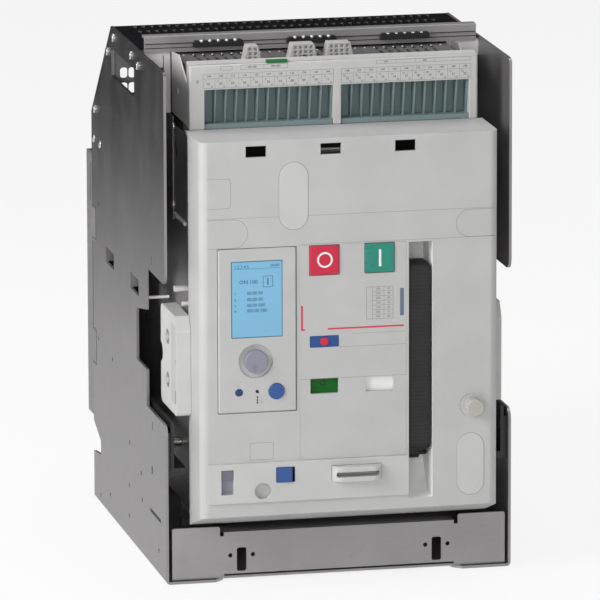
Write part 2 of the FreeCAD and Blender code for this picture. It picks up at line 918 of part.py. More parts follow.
def rear_panel():
    """Folded sheet across the back; tabs on its sides fill the notches of the side plates."""
    panel = Piece("rear_panel")
    web_front = S.panel_back - S.plate_gauge
    panel.pad("XZ", web_front, S.panel_back,
              rectangle(-half_width, half_width, S.panel_bottom, S.panel_top))
    front = S.plate_depth + S.seat_gap
    tab_front = front - S.tab_slot_depth
    for side in (-1, 1):
        corners = [(S.panel_back, S.panel_bottom), (S.panel_back, S.panel_top),
                   (front, S.panel_top)]
        for bottom in (S.upper_tab_slot, S.lower_tab_slot):
            low = bottom + S.seat_gap
            high = bottom + S.tab_slot_height - S.seat_gap
            corners += [(front, high), (tab_front, high), (tab_front, low), (front, low)]
        corners.append((front, S.panel_bottom))
        panel.pad("YZ", *span(side, inner_face, half_width), outline(*corners))
        panel.cut("YZ", *span(side, inner_face, half_width), rectangle(
            S.plate_depth + S.tie_slot_gap, S.plate_depth + S.tie_slot_gap + S.tie_slot,
            S.tie_slot_bottom, S.tie_slot_top))
    panel.soften("Fillet", S.bend_radius, lambda rim: (
        runs_along(rim, "z", ("x", half_width), ("y", S.panel_back))
        or runs_along(rim, "z", ("x", -half_width), ("y", S.panel_back))))
    panel.cut("XZ", web_front, S.panel_back,
              *terminal_rectangles(S.pad_width / 2 + S.pad_margin, S.pad_height / 2 + S.pad_margin))


def terminal_rectangles(half_across, half_high, rows=levels, radius=None):
    """One rectangle about each terminal centre."""
    return [rectangle(pole - half_across, pole + half_across, level - half_high,
                      level + half_high, radius) for level in rows for pole in poles]


def rear_base():
    """Moulded insulating block that holds the fixed terminals, each in a chamber of its own."""
    base = Piece("rear_base")
    web_front = S.panel_back - S.plate_gauge
    floor = S.base_front + S.chamber_depth
    edge = inner_face - S.seat_gap
    base.pad("XZ", S.base_front, web_front, rectangle(-edge, edge, S.base_bottom, S.base_top))
    base.cut("XZ", S.base_front, floor,
             *terminal_rectangles(S.chamber_width / 2, S.chamber_height / 2, radius=3))
    base.cut("XZ", floor, web_front, *terminal_rectangles(
        S.blade_width / 2 + S.seat_gap, S.blade_thickness / 2 + S.seat_gap))


def fixed_terminals():
    """Six fixed terminals: each a blade for the breaker's jaws and a drilled pad at the back."""
    terminals = Piece("fixed_terminals")
    web_front = S.panel_back - S.plate_gauge
    terminals.pad("XZ", S.blade_front, web_front, *terminal_rectangles(
        S.blade_width / 2, S.blade_thickness / 2))
    terminals.soften("Chamfer", S.blade_thickness / 4, lambda rim: (
        runs_along(rim, "x", ("y", S.blade_front))))
    back = web_front + S.pad_thickness
    terminals.pad("XZ", web_front, back, *terminal_rectangles(
        S.pad_width / 2, S.pad_height / 2, radius=2))
    terminals.cut("XZ", web_front, back, *[
        circle(pole + S.pad_hole_span / 2 * end, level, S.pad_hole / 2)
        for pole in poles for level in levels for end in (-1, 1)])


def shutter_guides():
    """Two channels on the face of the rear base in which the shutters run."""
    guides = Piece("shutter_guides")
    lip_back = S.base_front - S.shutter_gauge - 2 * S.seat_gap
    inner = S.shutter_half_width + S.seat_gap
    for side in (-1, 1):
        guides.pad("XY", S.guide_bottom, S.guide_top, outline(
            ((inner - S.guide_lip) * side, lip_back - S.guide_gauge),
            ((inner + S.guide_wall) * side, lip_back - S.guide_gauge),
            ((inner + S.guide_wall) * side, S.base_front), (inner * side, S.base_front),
            (inner * side, lip_back), ((inner - S.guide_lip) * side, lip_back)))


def shutter(name, level, away):
    """A shutter that closes over one row of chambers as the breaker leaves; shown open."""
    plate = Piece(name)
    half = S.chamber_height / 2 + S.shutter_cover
    middle = level + S.shutter_travel * away
    back = S.base_front - S.seat_gap
    plate.pad("XZ", back - S.shutter_gauge, back, rectangle(
        -S.shutter_half_width, S.shutter_half_width, middle - half, middle + half))
    plate.cut("XZ", back - S.shutter_gauge, back - S.shutter_gauge / 2, *[
        rectangle(pole - S.blade_width / 2, pole + S.blade_width / 2,
                  middle - half / 2, middle + half / 2, 2) for pole in poles])


def top_cross_rail():
    """Angle that ties the tops of the side plates, with a groove rolled along its face."""
    rail = Piece("top_cross_rail")
    edge = S.rail_half_width
    rail.pad("XZ", S.rail_front, S.rail_front + S.rail_gauge,
             rectangle(-edge, edge, S.rail_bottom, S.rail_top))
    rail.pad("XY", S.rail_top - S.rail_gauge, S.rail_top,
             rectangle(-edge, edge, S.rail_front, S.rail_front + S.rail_flange))
    rail.soften("Fillet", S.rail_gauge / 2, lambda rim: (
        runs_along(rim, "x", ("y", S.rail_front), ("z", S.rail_top))))
    rail.cut("XZ", S.rail_front, S.rail_front + S.rail_groove,
             rectangle(-edge, edge, S.rail_groove_bottom, S.rail_groove_top))


def top_mesh():
    """Perforated sheet over the arc chutes, with rows of slots and its back edge turned down."""
    mesh = Piece("top_mesh")
    edge = inner_face - S.seat_gap
    front = S.rail_front + S.rail_gauge + S.seat_gap
    bottom = S.mesh_top - S.mesh_gauge
    mesh.pad("XY", bottom, S.mesh_top, rectangle(-edge, edge, front, S.mesh_back))
    mesh.pad("XY", S.mesh_top - S.mesh_flange, S.mesh_top,
             rectangle(-edge, edge, S.mesh_back - S.mesh_gauge, S.mesh_back))
    left = S.mesh_pitch_across * (1 - S.mesh_columns) / 2 - S.mesh_slot_width / 2
    near = S.mesh_last_row - S.mesh_pitch_deep * (S.mesh_rows - 1) - S.mesh_slot_length / 2
    slot = mesh.cut("XY", bottom, S.mesh_top, rectangle(
        left, left + S.mesh_slot_width, near, near + S.mesh_slot_length))
    mesh.grid(slot, ("H_Axis", int(S.mesh_columns.value), S.mesh_pitch_across),
              ("V_Axis", int(S.mesh_rows.value), S.mesh_pitch_deep))


def contact_combs():
    """Three mouldings with round-topped teeth on the face of the cross rail."""
    combs = Piece("contact_combs")
    back = S.rail_front
    front = back - S.comb_depth
    top = S.comb_bottom + S.comb_body
    peak = top + S.comb_rise
    count = int((S.comb_width / S.comb_pitch).value + 0.5)
    for middle in (-S.comb_span, Size.of(0), S.comb_span):
        left = middle - S.comb_width / 2
        combs.pad("XZ", front, back, rectangle(left, left + S.comb_width, S.comb_bottom, top))
        first = middle - S.comb_pitch * (count - 1) / 2 - S.comb_tooth / 2
        teeth = [(first + S.comb_pitch * i, first + S.comb_pitch * i + S.comb_tooth)
                 for i in range(count)]
        combs.pad("XZ", front, back, *[
            outline((near, top - S.comb_rise / 2), (far, top - S.comb_rise / 2),
                    (far, peak, S.comb_rise * 0.8), (near, peak, S.comb_rise * 0.8))
            for near, far in teeth])


def corner_brackets():
    """Plates in the two upper corners that carry the cross rail on the side plates."""
    brackets = Piece("corner_brackets")
    front = S.rail_front + S.rail_gauge
    top = S.mesh_top - S.mesh_gauge - S.seat_gap
    for side in (-1, 1):
        outer = (inner_face - S.seat_gap) * side
        inner = S.bracket_inner * side
        leg = (S.bracket_inner + S.bracket_leg) * side
        brackets.pad("XZ", front, front + S.rail_gauge, outline(
            (inner, top), (inner, S.bracket_bottom), (leg, S.bracket_bottom),
            (leg, S.bracket_shelf), (outer, S.bracket_shelf), (outer, top)))
        slit = span(side, S.bracket_inner + S.bracket_leg,
                    S.bracket_inner + S.bracket_leg + S.bracket_slit)
        brackets.cut("XZ", front, front + S.rail_gauge,
                     rectangle(*slit, S.bracket_shelf, S.bracket_slit_top))


def fixed_rails():
    """Angles on the side plates in which the draw-out rails slide."""
    rails = Piece("fixed_rails")
    web = inner_face - S.slide_gauge
    for side in (-1, 1):
        rails.pad("XZ", S.fixed_rail_front, S.base_front - S.seat_gap, outline(
            (inner_face * side, S.rail_bed), (inner_face * side, S.rail_bed + S.fixed_rail_height),
            (web * side, S.rail_bed + S.fixed_rail_height),
            (web * side, S.rail_bed + S.slide_gauge),
            ((inner_face - S.fixed_rail_flange) * side, S.rail_bed + S.slide_gauge),
            ((inner_face - S.fixed_rail_flange) * side, S.rail_bed)))


def extension_rails():
    """The two rails that pull out of the chassis and carry the breaker."""
    rails = Piece("extension_rails")
    outer = inner_face - S.slide_gauge - S.seat_gap
    inner = outer - S.slide_gauge
    bottom = S.rail_bed + S.slide_gauge + S.seat_gap
    for side in (-1, 1):
        rails.pad("XZ", S.slide_front, S.slide_back, outline(
            (outer * side, bottom), (outer * side, bottom + S.slide_height),
            (inner * side, bottom + S.slide_height), (inner * side, bottom + S.slide_gauge),
            ((outer - S.slide_flange) * side, bottom + S.slide_gauge),
            ((outer - S.slide_flange) * side, bottom)))
        rails.cut("YZ", *span(side, inner, outer), circle(
            S.slide_front + S.slide_height / 2, bottom + S.slide_height / 2, S.slide_hole))


def chassis_rivets():
    """Rivet heads on the outside of the side plates."""
    rivets = Piece("chassis_rivets")
    places = [(getattr(S, name + "_depth"), getattr(S, name + "_level")) for name in RIVETS]
    for side in (-1, 1):
        rivets.pad("YZ", *span(side, half_width, half_width + S.rivet_height),
                   *[circle(depth, level, S.rivet_radius) for depth, level in places])
    face = half_width + S.rivet_height
    rivets.soften("Chamfer", S.rivet_height / 3, lambda rim: (
        isinstance(rim.Curve, Part.Circle) and abs(abs(rim.Curve.Center.x) - face.value) < 0.01))


def racking_nut():
    """Bracket on the floor sheet with the nut that the racking screw runs in."""
    nut = Piece("racking_nut")
    middle = -S.screw_offset
    back = S.nut_front + S.nut_depth
    foot = S.plate_gauge * 2
    nut.pad("XZ", S.nut_front, back, outline(
        (middle - S.nut_half_width * 2, foot), (middle + S.nut_half_width * 2, foot),
        (middle + S.nut_half_width, S.screw_level - S.nut_half_width),
        (middle + S.nut_half_width, S.screw_level + S.screw_radius + S.nut_wall, 4),
        (middle - S.nut_half_width, S.screw_level + S.screw_radius + S.nut_wall, 4),
        (middle - S.nut_half_width, S.screw_level - S.nut_half_width)))
    nut.cut("XZ", S.nut_front, back,
            circle(middle, S.screw_level, S.screw_radius + S.running_fit))


def breaker_sides():
    """Steel sides of the withdrawable breaker, with flanges that take the cover's screws."""
    plates = Piece("breaker_sides")
    outer = S.side_plate_face + S.side_plate_gauge
    front = S.cover_back + S.seat_gap
    # The front of the top edge stays under the cover's lip, and the rest carries the housing.
    lip = S.cover_top - S.cover_wall - S.seat_gap
    lip_back = S.housing_front + S.seat_gap
    seat = S.cover_top - S.seat_gap
    for side in (-1, 1):
        plates.pad("YZ", *span(side, S.side_plate_face, outer), outline(
            (front, S.side_plate_bottom), (S.side_plate_back, S.side_plate_bottom),
            (S.side_plate_back, S.rear_cover_top),
            (S.side_plate_slope_depth, S.side_plate_shoulder),
            (S.side_plate_shoulder_depth, S.side_plate_shoulder),
            (S.side_plate_shoulder_depth, seat), (lip_back, seat), (lip_back, lip), (front, lip)))
        flange = span(side, outer - S.side_plate_flange, outer)
        plates.pad("XZ", front, front + S.side_plate_gauge,
                   rectangle(*flange, S.side_plate_bottom, lip))


def carriage_rollers():
    """Four rollers on the breaker's sides that ride on the extension rails."""
    rollers = Piece("carriage_rollers")
    start = S.side_plate_face + S.side_plate_gauge + S.seat_gap
    rail_top = S.rail_bed + 2 * S.slide_gauge + S.seat_gap
    level = rail_top + S.roller_radius + S.seat_gap
    outer = inner_face - 2 * S.slide_gauge - 2 * S.seat_gap - S.seat_gap
    inner = outer - S.roller_width
    for side in (-1, 1):
        for depth in (S.front_roller, S.rear_roller):
            rollers.pad("YZ", *span(side, start, inner), circle(depth, level, S.roller_axle))
            rollers.pad("YZ", *span(side, inner, outer), circle(depth, level, S.roller_radius))


def pole_case():
    """Moulded case with one chamber for each pole, open at the top for the arc chutes."""
    case = Piece("pole_case")
    edge = S.side_plate_face - S.seat_gap
    case.pad("XZ", S.case_front, S.case_back, rectangle(-edge, edge, S.case_bottom, S.case_top))
    front = S.case_front + S.case_wall
    back = S.case_back - S.case_wall
    case.cut("XY", S.case_bottom + S.case_floor, S.case_top, *[
        rectangle(pole - S.chamber_half, pole + S.chamber_half, front, back) for pole in poles])
    across = S.conductor_width / 2 + S.seat_gap
    high = S.blade_thickness / 2 + S.seat_gap
    case.cut("XZ", back, S.case_back, *terminal_rectangles(across, high))
    bore = S.shaft_half_length + S.seat_gap
    case.cut("YZ", -bore, bore,
             circle(S.shaft_depth, S.shaft_level, S.shaft_radius + S.running_fit))


def open_arm(along, across):
    """A point of the contact arm at rest: along it from the shaft, and across it to the back."""
    swing = S.contact_swing
    depth = S.shaft_depth - Size.of(along) * swing.sine() + Size.of(across) * swing.cosine()
    level = S.shaft_level + Size.of(along) * swing.cosine() + Size.of(across) * swing.sine()
    return depth, level


def moving_contacts():
    """One contact arm for each pole, swung forward off its fixed contact."""
    arms = Piece("moving_contacts")
    half = S.arm_thickness / 2
    pad = half + S.contact_pad
    top = S.arm_reach
    for pole in poles:
        reach = (pole - S.arm_width / 2, pole + S.arm_width / 2)
        arms.pad("YZ", *reach, circle(S.shaft_depth, S.shaft_level, S.arm_hub))
        arms.pad("YZ", *reach, outline(
            open_arm(0, -half), open_arm(top, -half), open_arm(top, half),
            open_arm(top - 1, half), open_arm(top - 1, pad),
            open_arm(top - 1 - S.contact_pad_height, pad),
            open_arm(top - 1 - S.contact_pad_height, half), open_arm(0, half)))
    edge = S.pole_pitch + S.arm_width / 2
    arms.cut("YZ", -edge, edge, circle(S.shaft_depth, S.shaft_level, S.shaft_radius))


def main_shaft():
    """Contact shaft across the three poles."""
    shaft = Piece("main_shaft")
    shaft.pad("YZ", -S.shaft_half_length, S.shaft_half_length,
              circle(S.shaft_depth, S.shaft_level, S.shaft_radius))


def conductor_bars():
    """Upper bars from the fixed contacts, and lower bars from the arms' hinges, to the jaws."""
    bars = Piece("conductor_bars")
    face = S.shaft_depth + S.arm_thickness / 2 + S.contact_pad + S.seat_gap
    lower, upper = levels
    for front, level in ((face, upper), (S.lower_conductor_front, lower)):
        bars.pad("XZ", front, S.conductor_back, *terminal_rectangles(
            S.conductor_width / 2, S.blade_thickness / 2, (level,)))
    bars.pad("XZ", face, face + S.fixed_contact_depth, *[
        rectangle(pole - S.arm_width / 2, pole + S.arm_width / 2,
                  upper - S.blade_thickness, upper + S.fixed_contact_depth) for pole in poles])


def isolating_jaws():
    """Sprung finger clusters that grip the fixed blades, split into fingers at the back."""
    jaws = Piece("isolating_jaws")
    inner = S.blade_thickness / 2 + S.seat_gap
    outer = inner + S.jaw_thickness
    half = S.blade_width / 2
    jaws.pad("XZ", S.jaw_front, S.jaw_back, *[
        rectangle(pole - half, pole + half, *[level + edge for edge in span(side, inner, outer)])
        for pole in poles for level in levels for side in (-1, 1)])
    count = int(S.jaw_fingers.value)
    finger = S.blade_width / S.jaw_fingers
    root = (S.jaw_front + S.conductor_back) / 2
    lower, upper = levels
    jaws.cut("XY", lower - outer, upper + outer, *[
        rectangle(pole - half + finger * i - S.jaw_slot / 2, pole - half + finger * i
                  + S.jaw_slot / 2, root, S.jaw_back) for pole in poles for i in range(1, count)])


def current_transformers():
    """One transformer round each lower bar."""
    rings = Piece("current_transformers")
    front = S.case_back + S.seat_gap
    back = front + S.transformer_depth
    rings.pad("XZ", front, back, *terminal_rectangles(
        S.transformer_half_width, S.transformer_half_height, (S.lower_terminal,), 6))
    rings.cut("XZ", front, back, *terminal_rectangles(
        S.conductor_width / 2 + S.seat_gap, S.blade_thickness / 2 + S.seat_gap,
        (S.lower_terminal,)))


def rear_cover():
    """Moulded back of the breaker, with a window for each conductor."""
    cover = Piece("rear_cover")
    edge = S.side_plate_face - S.seat_gap
    front = S.rear_cover_back - S.rear_cover_gauge
    cover.pad("XZ", front, S.rear_cover_back,
              rectangle(-edge, edge, S.case_bottom, S.rear_cover_top))
    cover.cut("XZ", front, S.rear_cover_back, *terminal_rectangles(
        S.conductor_width / 2 + S.seat_gap, S.blade_thickness / 2 + S.seat_gap))


def arc_chutes():
    """Arc chutes with vented caps, one in the mouth of each chamber."""
    chutes = Piece("arc_chutes")
    half = S.chamber_half - S.seat_gap
    cap = S.chute_top - S.chute_cap_height
    for pole in poles:
        chutes.pad("XY", S.chute_bottom, cap,
                   rectangle(pole - half, pole + half, S.chute_front, S.chute_back))
        chutes.pad("XY", cap, S.chute_top,
                   rectangle(pole - S.chute_cap_half, pole + S.chute_cap_half,
                             S.chute_cap_front, S.chute_back + S.chute_wall))
    wall = S.chute_wall
    chutes.cut("XY", S.chute_bottom, S.chute_top - wall, *[
        rectangle(pole - half + wall, pole + half - wall, S.chute_front + wall,
                  S.chute_back - wall) for pole in poles])
    across = int((half - wall).value / S.chute_slot_across.value)
    deep = int(((S.chute_back - S.chute_front) / S.chute_slot_deep).value)
    near = S.chute_front + wall * 4
    first = S.chute_slot_across * (1 - across) - S.chute_slot_width / 2
    slots = chutes.cut("XY", S.chute_top - wall, S.chute_top, *[
        rectangle(pole + first, pole + first + S.chute_slot_width, near,
                  near + S.chute_slot_length) for pole in poles])
    chutes.grid(slots, ("H_Axis", 2 * across - 1, S.chute_slot_across),
                ("V_Axis", deep, S.chute_slot_deep))


def splitter_plates():
    """Steel plates that split the arc, standing across each chute."""
    plates = Piece("splitter_plates")
    half = S.chamber_half - S.chute_wall - 2 * S.seat_gap
    bottom = S.chute_bottom + S.chute_wall
    top = S.chute_top - S.chute_wall - S.seat_gap
    first = S.chute_front + S.splitter_pitch
    count = int((S.chute_back - first).value / S.splitter_pitch.value)
    blanks = plates.pad("XZ", first, first + S.splitter_gauge, *[
        outline((pole - half, bottom), (pole - half / 3, bottom), (pole, bottom + half),
                (pole + half / 3, bottom), (pole + half, bottom), (pole + half, top),
                (pole - half, top)) for pole in poles])
    plates.repeat(blanks, "N_Axis", count, -S.splitter_pitch)


def front_cover():
    """Moulded cover with its control openings and the trough for the charging handle."""
    cover = Piece("front_cover")
    edge = S.cover_half_width
    face = -S.cover_front
    inside = face + S.cover_wall
    cover.pad("YZ", -edge, edge, outline(
        (face, S.cover_bottom), (face, S.cover_top), (S.housing_front, S.cover_top),
        (S.housing_front, S.cover_top - S.cover_wall),
        (S.cover_back, S.cover_top - S.cover_wall), (S.cover_back, S.skirt_bottom)))
    cover.soften("Fillet", S.cover_corner, lambda rim: (
        runs_along(rim, "z", ("x", edge), ("y", face))
        or runs_along(rim, "z", ("x", -edge), ("y", face))))
    inner_edge = edge - S.cover_wall
    cover.cut("YZ", -inner_edge, inner_edge, outline(
        (inside, S.cover_bottom + S.cover_wall), (inside, S.cover_top - S.cover_wall),
        (S.cover_back, S.cover_top - S.cover_wall), (S.cover_back, S.skirt_bottom + S.cover_wall)))
    cover.soften("Fillet", S.cover_corner - S.cover_wall, lambda rim: (
        runs_along(rim, "z", ("x", inner_edge), ("y", inside))
        or runs_along(rim, "z", ("x", -inner_edge), ("y", inside))))
    # The trough is a box behind the front wall whose lower end is a quarter-round scoop.
    wall = S.trough_wall
    floor = face + S.trough_depth
    cover.pad("YZ", S.trough_left - wall, S.trough_right + wall, outline(
        (face, S.trough_top + wall), (floor + wall, S.trough_top + wall),
        (floor + wall, S.trough_bottom - wall, S.scoop_radius + wall), (face, S.trough_bottom - wall)))
    cover.cut("YZ", S.trough_left, S.trough_right, outline(
        (face, S.trough_top), (floor, S.trough_top),
        (floor, S.trough_bottom, S.scoop_radius), (face, S.trough_bottom)))
    # Screw posts reach back to the flanges of the breaker's side plates.
    post_x = S.side_plate_face - S.post_inset
    for level in (S.lower_post, S.upper_post):
        cover.pad("XZ", inside, S.cover_back, circle(-post_x, level, S.post_radius),
                  circle(post_x, level, S.post_radius))
    # A guide sleeve for the round release plunger and a hinge boss for the crank flap.
    cover.pad("XZ", face - S.collar_height, face, circle(S.plunger_x, S.plunger_z, S.collar_radius))
    cover.pad("XZ", inside, inside + S.sleeve_length,
              circle(S.plunger_x, S.plunger_z, S.plunger_radius + S.sleeve_wall))
    cover.cut("XZ", face - S.collar_height, inside + S.sleeve_length,
              circle(S.plunger_x, S.plunger_z, S.plunger_radius + S.running_fit))
    cover.pad("XZ", inside, inside + S.flap_boss,
              circle(flap_pivot_x, S.screw_level, S.flap_pin))
    sights = []
    for i in range(3):
        left = S.sight_pitch * i - S.sight_first - S.sight_width / 2
        sights.append(rectangle(left, left + S.sight_width, S.sight_bottom,
                                S.sight_bottom + S.sight_height))
    seam = S.seam
    cover.cut(
        "XZ", face, inside,
        rectangle(-S.unit_left - seam, -S.unit_right + seam, S.unit_bottom - seam,
                  S.unit_top + seam, 2),
        rectangle(-S.fascia_left - seam, fascia_right + seam, S.fascia_bottom - seam,
                  S.fascia_top + seam),
        rectangle(-S.position_window_left - S.pocket_wall - seam,
                  S.position_window_width - S.position_window_left + S.pocket_wall + seam,
                  S.position_window_bottom - S.pocket_wall - seam,
                  S.position_window_bottom + S.position_window_height + S.pocket_wall + seam),
        circle(-S.screw_offset, S.screw_level, S.crank_hole_radius + S.seat_gap),
        rectangle(-S.slider_left - S.slider_flange - S.seat_gap,
                  -S.slider_left + S.slider_width + S.slider_flange + S.slider_travel + S.seat_gap,
                  S.slider_bottom - S.slider_flange - S.seat_gap,
                  S.slider_bottom + S.slider_height + S.slider_flange + S.seat_gap),
        rectangle(-S.padlock_left, S.padlock_width - S.padlock_left, S.padlock_bottom,
                  S.padlock_bottom + S.padlock_height),
        stadium(S.blank_x, S.blank_z, S.blank_width + 2 * seam, S.blank_height + 2 * seam),
        stadium(-S.upper_blank_x, S.upper_blank_z, S.upper_blank_width + 2 * seam,
                S.upper_blank_height + 2 * seam),
        *sights)


def cover_blanks():
    """Plugs in the two key-lock openings of the cover."""
    blanks = Piece("cover_blanks")
    face = -S.cover_front
    places = ((S.blank_x, S.blank_z, S.blank_width, S.blank_height),
              (-S.upper_blank_x, S.upper_blank_z, S.upper_blank_width, S.upper_blank_height))
    for x, level, width, height in places:
        blanks.pad("XZ", face - S.blank_proud, face + S.cover_wall, stadium(x, level, width, height))
        blanks.pad("XZ", face + S.cover_wall, face + S.cover_wall + S.lip_gauge,
                   stadium(x, level, width + 2 * S.lip, height + 2 * S.lip))


def fascia():
    """Panel with the push-buttons and the indicator windows, and guide ribs for the flags."""
    panel = Piece("fascia")
    face = -S.cover_front
    back = face + S.fascia_gauge
    panel.pad("XZ", face, back,
              rectangle(-S.fascia_left, fascia_right, S.fascia_bottom, S.fascia_top))
    opening = S.button_size / 2 + S.button_clearance
    windows = [
        rectangle(x - opening, x + opening, S.button_z - opening, S.button_z + opening,
                  S.control_corner)
        for x in (-S.off_x, S.on_x)
    ]
    for x in flag_places:
        windows.append(rectangle(x - S.flag_window_width / 2, x + S.flag_window_width / 2,
                                 S.flag_window_bottom,
                                 S.flag_window_bottom + S.flag_window_height, 1))
    windows.append(circle(-S.trip_x, trip_level, S.trip_button_radius + S.running_fit))
    panel.cut("XZ", face, back, *windows)
    panel.cut("XZ", face, face + S.fascia_gauge / 2, rectangle(
        -S.trip_x - S.trip_window_width / 2, -S.trip_x + S.trip_window_width / 2,
        S.trip_window_bottom, S.trip_window_bottom + S.trip_window_height, 1))
    inner = S.flag_window_width / 2 + S.flag_overlap + S.seat_gap
    rib_bottom = S.flag_window_bottom - S.flag_travel - S.flag_overlap
    rib_top = S.flag_window_bottom + S.flag_window_height + S.flag_travel
    for x in flag_places:
        panel.pad("XZ", back, back + S.flag_gap + S.flag_gauge + S.rib_depth, *[
            rectangle(*[x + reach for reach in span(side, inner, inner + S.rib_gauge)],
                      rib_bottom, rib_top) for side in (-1, 1)])


def flag(name, x):
    """Two-part flag behind a window; its upper half shows at rest."""
    plate = Piece(name)
    front = S.fascia_gauge + S.flag_gap - S.cover_front
    half = S.flag_window_width / 2 + S.flag_overlap
    plate.pad("XZ", front, front + S.flag_gauge, rectangle(
        x - half, x + half, S.flag_window_bottom - S.flag_travel - S.flag_overlap,
        S.flag_window_bottom + S.flag_window_height + S.flag_overlap))


def push_button(name, front, length, shape, crown):
    """A button that slides straight back; crown bevels its front edge."""
    button = Piece(name)
    button.pad("XZ", front, front + length, shape)
    button.soften("Chamfer", crown, lambda rim: all(
        abs(vertex.Point.y - Size.of(front).value) < 0.01 for vertex in rim.Vertexes))
    return button


def push_buttons():
    """OFF and ON buttons, the trip reset, and the two buttons of the protection unit."""
    face = -S.cover_front
    half = S.button_size / 2
    for name, x in (("off_button", -S.off_x), ("on_button", S.on_x)):
        shape = rectangle(x - half, x + half, S.button_z - half, S.button_z + half,
                          S.control_corner)
        push_button(name, face - S.button_proud, S.button_length, shape, S.button_crown)
    push_button("trip_reset_button", face - S.button_crown, S.stem_length,
                circle(-S.trip_x, trip_level, S.trip_button_radius), S.button_crown / 2)
    unit_face = -S.unit_front
    push_button("test_button", unit_face - S.button_crown, S.stem_length,
                circle(-S.small_button_x, S.small_button_z, S.small_button_radius),
                S.button_crown / 2)
    push_button("reset_button", unit_face - S.button_proud, S.stem_length,
                circle(-S.reset_x, S.reset_z, S.reset_radius), S.button_crown)
    push_button("release_plunger", face - S.plunger_proud, S.plunger_length,
                circle(S.plunger_x, S.plunger_z, S.plunger_radius),
                S.button_crown)


def protection_unit():
    """Electronic trip unit: a box through the cover with a screen recess and its controls."""
    unit = Piece("protection_unit")
    face = -S.unit_front
    back = -S.unit_back
    unit.pad("XZ", face, back, rectangle(
        -S.unit_left, -S.unit_right, S.unit_bottom, S.unit_top, S.control_corner))
    unit.soften("Chamfer", S.unit_front - S.cover_front, lambda rim: (
        abs(rim.Vertexes[0].Point.y - face.value) < 0.01
        and abs(rim.Vertexes[-1].Point.y - face.value) < 0.01))
    unit.cut("XZ", face, face + S.screen_depth, rectangle(
        -S.screen_left, -S.screen_right, S.screen_bottom, S.screen_top))
    unit.cut("XZ", face, face + S.knob_recess, circle(-S.knob_x, S.knob_z, S.knob_skirt))
    fit = S.running_fit
    unit.cut("XZ", face, back,
             circle(-S.knob_x, S.knob_z, S.knob_stem + fit),
             circle(-S.small_button_x, S.small_button_z, S.small_button_radius + fit),
             circle(-S.reset_x, S.reset_z, S.reset_radius + fit))
    port_x = (S.small_button_x + S.reset_x) / 2
    unit.cut("XZ", face, face + S.knob_recess, circle(-port_x, S.small_button_z, S.port_radius))


def lcd_screen():
    """Screen glass in the recess of the protection unit."""
    screen = Piece("lcd_screen")
    front = S.screen_set - S.unit_front
    gap = S.seam
    screen.pad("XZ", front, S.screen_depth - S.unit_front, rectangle(
        gap - S.screen_left, -S.screen_right - gap, S.screen_bottom + gap, S.screen_top - gap))


def nav_knob():
    """Rotary knob of the protection unit, with a finger dimple near its rim."""
    knob = Piece("nav_knob")
    back = S.knob_recess - S.seat_gap - S.unit_front
    knob.pad("XZ", back - S.knob_height, back, circle(-S.knob_x, S.knob_z, S.knob_cap))
    knob.soften("Chamfer", S.button_crown, lambda rim: (
        abs(rim.Vertexes[0].Point.y - (back - S.knob_height).value) < 0.01))
    knob.pad("XZ", back, S.stem_length - S.unit_front, circle(-S.knob_x, S.knob_z, S.knob_stem))
    knob.cut("XZ", back - S.knob_height, back - S.knob_height + S.knob_dimple, circle(
        -S.knob_x, S.knob_z - S.knob_cap / 2, S.knob_cap / 4))


def corner_waste(x, y, across, up, radius):
    """What rounds a corner of a piece; across and up are -1 or 1 and point out of the piece."""
    reach = radius + 1
    return outline((x - reach * across, y + up), (x + across, y + up),
                   (x + across, y - reach * up), (x, y - reach * up), (x, y, radius),
                   (x - reach * across, y))


def charging_handle():
    """Pull handle in its trough, finely ribbed across its face, on a cross pin at its lower end."""
    handle = Piece("charging_handle")
    front = -S.handle_front
    back = -S.handle_back
    pivot = (-S.handle_pivot_depth, S.handle_pivot_level)
    handle.pad("YZ", S.handle_left, S.handle_right, outline(
        (front, S.handle_top, 4), (front, S.handle_bottom + S.handle_hub, 3),
        (-S.handle_pivot_depth - S.handle_hub, S.handle_pivot_level - S.handle_hub / 3),
        (back, S.handle_pivot_level), (back, S.handle_top, 4)))
    handle.cut("XZ", front, back,
               corner_waste(S.handle_left, S.handle_top, -1, 1, S.handle_corner / 2),
               corner_waste(S.handle_right, S.handle_top, 1, 1, S.handle_corner / 2),
               corner_waste(S.handle_right, S.handle_bottom, 1, -1, S.handle_corner))
    handle.pad("YZ", S.handle_left + S.handle_wall, S.handle_right - S.handle_hub,
               circle(*pivot, S.handle_hub))
    handle.cut("YZ", S.handle_left + S.handle_wall, S.handle_right - S.handle_wall, rectangle(
        front + S.handle_wall, back, S.handle_bottom + S.handle_hub * 3,
        S.handle_top - S.handle_hub * 2))
    count = int(((S.handle_top - S.handle_bottom) / S.rib_pitch).value) - 4
    lowest = S.handle_bottom + S.rib_pitch * 3
    groove = handle.cut("XZ", front, front + S.rib_groove, rectangle(
        S.handle_left + S.handle_wall, S.handle_right - S.handle_wall, lowest,
        lowest + S.rib_groove))
    handle.repeat(groove, "V_Axis", count, S.rib_pitch)
    handle.cut("YZ", S.handle_left, S.handle_right,
               circle(*pivot, S.handle_pin + S.running_fit))


def handle_pin():
    """Cross pin of the charging handle, held in the walls of the trough."""
    pin = Piece("handle_pin")
    pin.pad("YZ", S.trough_left, S.trough_right,
            circle(-S.handle_pivot_depth, S.handle_pivot_level, S.handle_pin))


